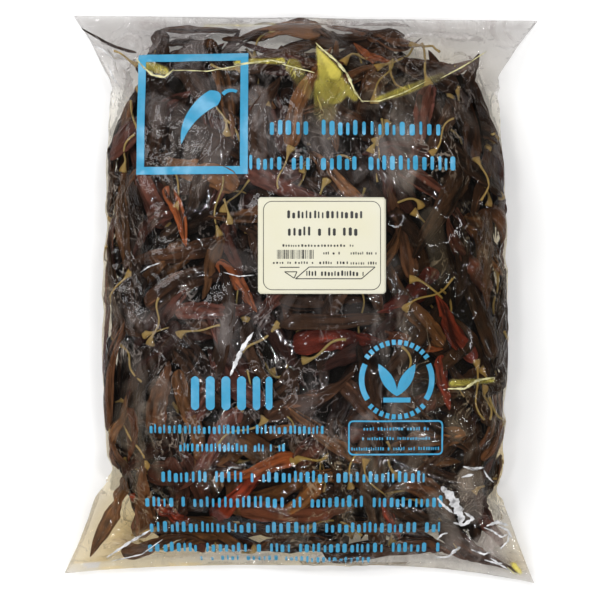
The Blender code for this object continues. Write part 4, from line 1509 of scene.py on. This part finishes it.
class ChilliBagFilm(bpy.types.PropertyGroup):
    """The clear film."""

    tint: colour_property("Tint", "What one layer of film lets through", (0.965, 0.958, 0.94))
    # The hazy patches are painted sheen; haze is how strongly they show.
    haze: bpy.props.FloatProperty(
        name="Haze", description="How much the hazy patches veil", min=0, max=1, default=0.26)
    # The pale wrinkles are painted glints.
    wrinkles: bpy.props.FloatProperty(
        name="Wrinkles", description="How much the fine pale wrinkles show", min=0, max=1, default=0.3)
    loose_tint: colour_property(
        "Loose tint", "What one layer of loose, flat film lets through", (0.87, 0.865, 0.86))
    warm_tint: colour_property(
        "Tan tint", "What one layer lets through where the film looks tan", (0.93, 0.83, 0.59))
    # The yellow of doubled film is a painted reflection.
    yellow_reflection_colour: colour_property(
        "Yellow film", "Colour of the doubled film that shines yellow", (0.86, 0.73, 0.13))
    # The pale and cream folds are painted highlights.
    pale_fold_highlight: colour_property("Pale creases", "Colour of the white folds", (0.93, 0.93, 0.95))
    cream_fold_highlight: colour_property("Cream creases", "Colour of the yellowish folds", (0.86, 0.8, 0.42))
    # The tan and mauve haze colours paint the sheen of the hazy patches.
    tan_colour: colour_property(
        "Tan haze", "Colour of the hazy patches where the film looks tan", (0.57, 0.43, 0.25))
    sheen_haze_colour: colour_property("Haze colour", "Colour of the hazy patches", (0.47, 0.41, 0.395))


class ChilliBagPrint(bpy.types.PropertyGroup):
    """The label and the print."""

    paper: colour_property("Label paper", "Colour of the label", (0.79, 0.765, 0.61))
    black: colour_property("Label ink", "Colour of the label's print", (0.02, 0.02, 0.02))
    blue: colour_property("Film ink", "Colour of the print on the film", (0.051, 0.35, 0.585))


class ChilliBagStage(bpy.types.PropertyGroup):
    """Floor, light and camera."""

    floor: colour_property("Floor", "Colour of the floor", (0.97, 0.97, 0.97))
    sky: bpy.props.FloatProperty(
        name="Soft light", description="Strength of the light from all round", min=0, default=0.16)
    camera_height: bpy.props.FloatProperty(
        name="Camera height", description="Height of the camera above the floor", unit="LENGTH", default=2.4)
    view_width: bpy.props.FloatProperty(
        name="View width", description="Width of the floor that the picture shows", unit="LENGTH",
        default=0.45)


class CHILLIBAG_OT_core(bpy.types.Operator):
    """Adds the dark middle of the heap, a sheet of painted shade"""

    bl_idname = "chillibag.core"
    bl_label = "Heap core"

    def execute(self, context):
        piece = tubes_piece("heap_core", [(core_points()[None], {})])
        dressed(piece, core_material("depths", context.scene.chilli_filling.core), [BAG_NODE])
        return {"FINISHED"}


class CHILLIBAG_OT_pods(bpy.types.Operator):
    """Adds the dried pods, one piece for each kind"""

    bl_idname = "chillibag.pods"
    bl_label = "Pods"

    def execute(self, context):
        filling = context.scene.chilli_filling
        shown = [c for c in settled_pile().pods if c["shown"] > LEAST_SHOWN]
        for kind in KINDS:
            batches = []
            for detail in ("near", "far"):
                some = [c for c in shown if c["kind"] == kind and detail_of(c) == detail]
                if some:
                    points, values = pod_points(some, detail)
                    tone = np.broadcast_to(column_of(some, "tone")[:, :, None], points.shape[:3])
                    batches.append((points, {"tone": tone, **values}))
            piece = tubes_piece(f"pods_{kind}", batches)
            colour = getattr(filling, kind)
            skin = pod_material(f"pod_skin_{kind}", colour, scaled(colour, PALE_SKIN))
            dressed(piece, skin, [BAG_NODE])
        return {"FINISHED"}


class CHILLIBAG_OT_stems(bpy.types.Operator):
    """Adds the stems with their cups"""

    bl_idname = "chillibag.stems"
    bl_label = "Stems"

    def execute(self, context):
        filling = context.scene.chilli_filling
        pile = settled_pile()
        stems = [s for s in pile.stems if pile.pods[s["pod"]]["shown"] > LEAST_SHOWN]
        points = stem_points(stems)
        tone = np.broadcast_to(column_of(stems, "stem_tone")[:, :, None], points.shape[:3])
        piece = tubes_piece("stems", [(points, {"tone": tone})])
        dressed(piece, stem_material("dry_stem", filling.stem, filling.cup), [BAG_NODE])
        return {"FINISHED"}


class CHILLIBAG_OT_film(bpy.types.Operator):
    """Adds the clear film, drawn tight over the pile"""

    bl_idname = "chillibag.film"
    bl_label = "Film"

    def execute(self, context):
        film = context.scene.chilli_film
        points, _, loose = film_grid()
        x, y, z = np.moveaxis(points, -1, 0)
        warm = sum(blob(x, y, spot[:4]) * spot[4] for spot in WARM_SPOTS) * (z > SEAM_HEIGHT / 2)
        values = {"loose": loose, "warm": np.clip(warm, 0, 1)}
        values.update({kind: doubled_film_sheen(points, kind) for kind in DOUBLED_FILM_SHEEN})
        piece = tubes_piece("film", [(points[None], values)])
        dressed(piece, film_material("clear_film", film), [BAG_NODE])
        # White and cream painted highlights along folds of the film.
        for name, colour, paths in (
            ("creases_pale", film.pale_fold_highlight, PALE_FOLD_HIGHLIGHTS),
            ("creases_cream", film.cream_fold_highlight, CREAM_FOLD_HIGHLIGHTS),
        ):
            dressed(tents_piece(name, paths), fold_highlight_material(name, colour))
        return {"FINISHED"}


class CHILLIBAG_OT_label(bpy.types.Operator):
    """Adds the paper label and its plain black marks"""

    bl_idname = "chillibag.label"
    bl_label = "Label"

    def execute(self, context):
        colours = context.scene.chilli_print
        sheet = sheets_piece("label_sheet", [label_plan()], label_surface, LABEL_LIFT)
        paper = sheet.modifiers.new("paper", "SOLIDIFY")
        paper.thickness = PAPER_THICKNESS
        paper.offset = -1
        dressed(sheet, paper_material("label_paper", colours.paper), [LABEL_NODE])
        marks = sheets_piece("label_marks", label_marks(*LABEL_AT), label_surface, MARKS_LIFT)
        dressed(marks, ink_material("label_ink", colours.black, 0.3))
        return {"FINISHED"}


def label_plan():
    """The label's outline as a grid: rows across a rectangle whose corners are rounded by quarter circles."""
    width, height = LABEL_SIZE
    rows, share = np.linspace(-1, 1, LABEL_GRID[0]), np.linspace(-1, 1, LABEL_GRID[1])
    end = (1 - np.abs(rows)) * height / 2
    inset = 1 - np.sqrt(np.clip(1 - (1 - end / LABEL_CORNER).clip(0) ** 2, 0, 1))
    x = LABEL_AT[0] + (width / 2 - LABEL_CORNER * inset)[:, None] * share[None, :]
    y = np.broadcast_to((LABEL_AT[1] + rows * height / 2)[:, None], LABEL_GRID)
    return np.stack([x, y], axis=-1)


def label_marks(x0, y0):
    """The label's print as plain shapes: a thin round box, rows of blocks for words, upright strokes, and a
    slanted tag with a small triangle at its side. Places are in mm from the label's middle."""
    draw = np.random.default_rng(5)

    def at(x, y):
        return x0 + x * MM, y0 + y * MM

    outline = round_box(at(0, 0), (86 * MM, 65 * MM), 6.5 * MM, 1.0 * MM)
    sheets = [even_ribbon(outline, 0.25 * MM, 2)]
    for y, left, right, tall, letters in LABEL_ROWS:
        (x_left, row_y), (x_right, _) = at(left, y), at(right, y)
        sheets += letter_row(x_left, x_right, row_y, tall * MM, draw, letters)
    x = LABEL_STROKES[0]
    while x < LABEL_STROKES[1]:
        stroke = draw.choice((0.3, 0.55, 0.9))
        sheets.append(stroke_sheet(at(x, LABEL_STROKES[2]), at(x, LABEL_STROKES[3]), stroke / 2 * MM))
        x += stroke + draw.choice((0.4, 0.7, 1.0))
    for corners in (LABEL_TAG, LABEL_TRIANGLE, LABEL_DASH):
        for start, end in zip(corners, corners[1:]):
            sheets.append(stroke_sheet(at(*start), at(*end), 0.32 * MM))
    return sheets


def stroke_sheet(start, end, half):
    return even_ribbon(line(start, end, 1.0 * MM), half, 2)


def panel_shapes():
    """The corner panel: a plain blue frame round one chilli silhouette, which is a strip with a pod's
    width."""
    x, y = PANEL_AT[0] * MM, PANEL_AT[1] * MM
    wide, tall, half = PANEL_SIZE[0] * MM / 2, PANEL_SIZE[1] * MM / 2, PANEL_LINE * MM / 2
    sheets = []
    for side in (-1, 1):
        for start, end in (
            ((x + side * wide, y - tall - half), (x + side * wide, y + tall + half)),
            ((x - wide + half, y + side * tall), (x + wide - half, y + side * tall)),
        ):
            sheets.append(even_ribbon(line(start, end), half, 5))
    t = np.linspace(0, 1, PANEL_POD_STATIONS)
    angle = np.radians(200 + 62 * t)
    ways = np.cumsum(np.stack([np.cos(angle), np.sin(angle)], axis=1), axis=0)
    shoulder = np.array([x + PANEL_POD_AT[0] * MM, y + PANEL_POD_AT[1] * MM])
    pod_path = shoulder + ways * (PANEL_POD_LENGTH * MM / PANEL_POD_STATIONS)
    half = PANEL_POD_HALF * MM * np.sqrt(np.clip(t / 0.12, 0, 1)) * (1 - t**1.7) ** 0.85
    sheets.append(ribbon(pod_path, np.maximum(half, 0.2 * MM), 11))
    stem = arc((x + PANEL_STEM_AT[0] * MM, y + PANEL_STEM_AT[1] * MM), PANEL_STEM_RADIUS * MM, 142, 60)
    sheets.append(ribbon(stem, np.linspace(1.5, 1.1, len(stem)) * MM, 3))
    return sheets


def emblem_shapes():
    """The round emblem: a ring of two arcs and two rows of blocks, round two leaves, which are strips with a
    sine's width, over a short bar."""
    centre = (EMBLEM_AT[0] * MM, EMBLEM_AT[1] * MM)
    sheets = []
    for start, end in ((-34, 26), (154, 214)):
        sheets.append(even_ribbon(arc(centre, EMBLEM_RADIUS, start, end), 2.0 * MM, 5))
    for start, end, blocks in ((226, 314, 10), (38, 142, 12)):
        for angle in np.linspace(start, end, blocks):
            block = arc(centre, EMBLEM_RADIUS + 1.5 * MM, angle - 3, angle + 3, 0.8 * MM)
            sheets.append(even_ribbon(block, 1.9 * MM, 4))
    t = np.linspace(0, 1, 40)
    for turn in (60, 120):
        direction = np.array([math.cos(math.radians(turn)), math.sin(math.radians(turn))])
        path = np.array(centre) + np.array([0, -12 * MM]) + direction * (t[:, None] * 27 * MM)
        sheets.append(ribbon(path, np.maximum(4.2 * MM * np.sin(math.pi * t) ** 0.8, 0.15 * MM), 9))
    path = line((centre[0] - 10 * MM, centre[1] - 15 * MM), (centre[0] + 10 * MM, centre[1] - 15 * MM))
    return [*sheets, even_ribbon(path, 1.8 * MM, 3)]


def notice_shapes():
    """The small notice: a thin round box with three lines of blocks."""
    draw = np.random.default_rng(21)
    outline = round_box(
        (NOTICE_AT[0] * MM, NOTICE_AT[1] * MM), (NOTICE_SIZE[0] * MM, NOTICE_SIZE[1] * MM), 3 * MM)
    sheets = [even_ribbon(outline, 0.6 * MM, 2)]
    for y, left, right, tall, letters in NOTICE_ROWS:
        sheets += letter_row(left * MM, right * MM, y * MM, tall * MM, draw, letters)
    return sheets


def row_shapes():
    """Lines of print as rows of blocks, and six upright bars."""
    draw = np.random.default_rng(33)
    sheets = []
    for y, left, right, tall, letters in PRINT_ROWS:
        sheets += letter_row(left * MM, right * MM, y * MM, tall * MM, draw, letters)
    for left, right in PRINT_BLOCKS:
        sheets.append(bar(left * MM, right * MM, PRINT_BLOCKS_Y * MM, PRINT_BLOCKS_TALL * MM))
    return sheets


class CHILLIBAG_OT_print(bpy.types.Operator):
    """Adds the blue print on the film, as plain shapes"""

    bl_idname = "chillibag.print"
    bl_label = "Print"

    def execute(self, context):
        ink = ink_material("film_ink", context.scene.chilli_print.blue, 0.35)
        for name, shapes in (
            ("print_panel", panel_shapes()), ("print_emblem", emblem_shapes()),
            ("print_notice", notice_shapes()), ("print_rows", row_shapes()),
        ):
            dressed(sheets_piece(name, shapes, on_film, INK_LIFT), ink)
        return {"FINISHED"}


class CHILLIBAG_OT_stage(bpy.types.Operator):
    """Adds the floor, the lights and the camera"""

    bl_idname = "chillibag.stage"
    bl_label = "Stage"

    def execute(self, context):
        stage = context.scene.chilli_stage
        corners = np.array([[-1, -1, 0], [1, -1, 0], [1, 1, 0], [-1, 1, 0]]) * FLOOR_HALF - [0, 0, FLOOR_DROP]
        floor = piece_from("floor", corners, np.arange(4), np.array([4]))
        floor.data.materials.append(floor_material("pale_floor", stage.floor))
        world = bpy.data.worlds.new("studio")
        context.scene.world = world
        world.use_nodes = True
        background = world.node_tree.nodes["Background"]
        background.inputs["Color"].default_value = SKY_COLOUR
        background.inputs["Strength"].default_value = stage.sky
        for name, place, size, energy in LIGHTS:
            light = bpy.data.lights.new(name, "AREA")
            light.shape = "RECTANGLE"
            light.size, light.size_y = size
            light.energy = energy
            lamp = bpy.data.objects.new(name, light)
            lamp.location = place
            lamp.rotation_mode = "QUATERNION"
            lamp.rotation_quaternion = (-Vector(place)).to_track_quat("-Z", "Y")
            context.scene.collection.objects.link(lamp)
        camera = bpy.data.cameras.new("camera")
        camera.sensor_width = SENSOR_WIDTH
        camera.lens = SENSOR_WIDTH * (stage.camera_height - MID_HEIGHT) / stage.view_width
        camera.clip_end = FAR_LIMIT
        eye = bpy.data.objects.new("camera", camera)
        eye.location = (*EYE_AT, stage.camera_height)
        context.scene.collection.objects.link(eye)
        context.scene.camera = eye
        context.scene.view_settings.view_transform = "Standard"
        return {"FINISHED"}


OPERATORS = (
    CHILLIBAG_OT_core, CHILLIBAG_OT_pods, CHILLIBAG_OT_stems, CHILLIBAG_OT_film,
    CHILLIBAG_OT_label, CHILLIBAG_OT_print, CHILLIBAG_OT_stage,
)


class CHILLIBAG_PT_build(bpy.types.Panel):
    """Lists the pieces of the bag and their colours"""

    bl_label = "Bag of Dried Chillies"
    bl_idname = "CHILLIBAG_PT_build"
    bl_space_type = "VIEW_3D"
    bl_region_type = "UI"
    bl_category = "Chilli Bag"

    def draw(self, context):
        for group in SETTINGS:
            box = self.layout.box()
            settings = getattr(context.scene, group)
            for key in settings.bl_rna.properties.keys():
                if key not in ("rna_type", "name"):
                    box.prop(settings, key)
        for operator in OPERATORS:
            self.layout.operator(operator.bl_idname)


SETTINGS = {
    "chilli_filling": ChilliBagFilling,
    "chilli_film": ChilliBagFilm,
    "chilli_print": ChilliBagPrint,
    "chilli_stage": ChilliBagStage,
}
CLASSES = (*SETTINGS.values(), *OPERATORS, CHILLIBAG_PT_build)


def register():
    for each in CLASSES:
        bpy.utils.register_class(each)
    for name, group in SETTINGS.items():
        setattr(bpy.types.Scene, name, bpy.props.PointerProperty(type=group))


def unregister():
    for name in SETTINGS:
        delattr(bpy.types.Scene, name)
    for each in reversed(CLASSES):
        bpy.utils.unregister_class(each)


def main():
    register()
    for operator in OPERATORS:
        family, name = operator.bl_idname.split(".")
        getattr(getattr(bpy.ops, family), name)()


if __name__ == "__main__":
    main()
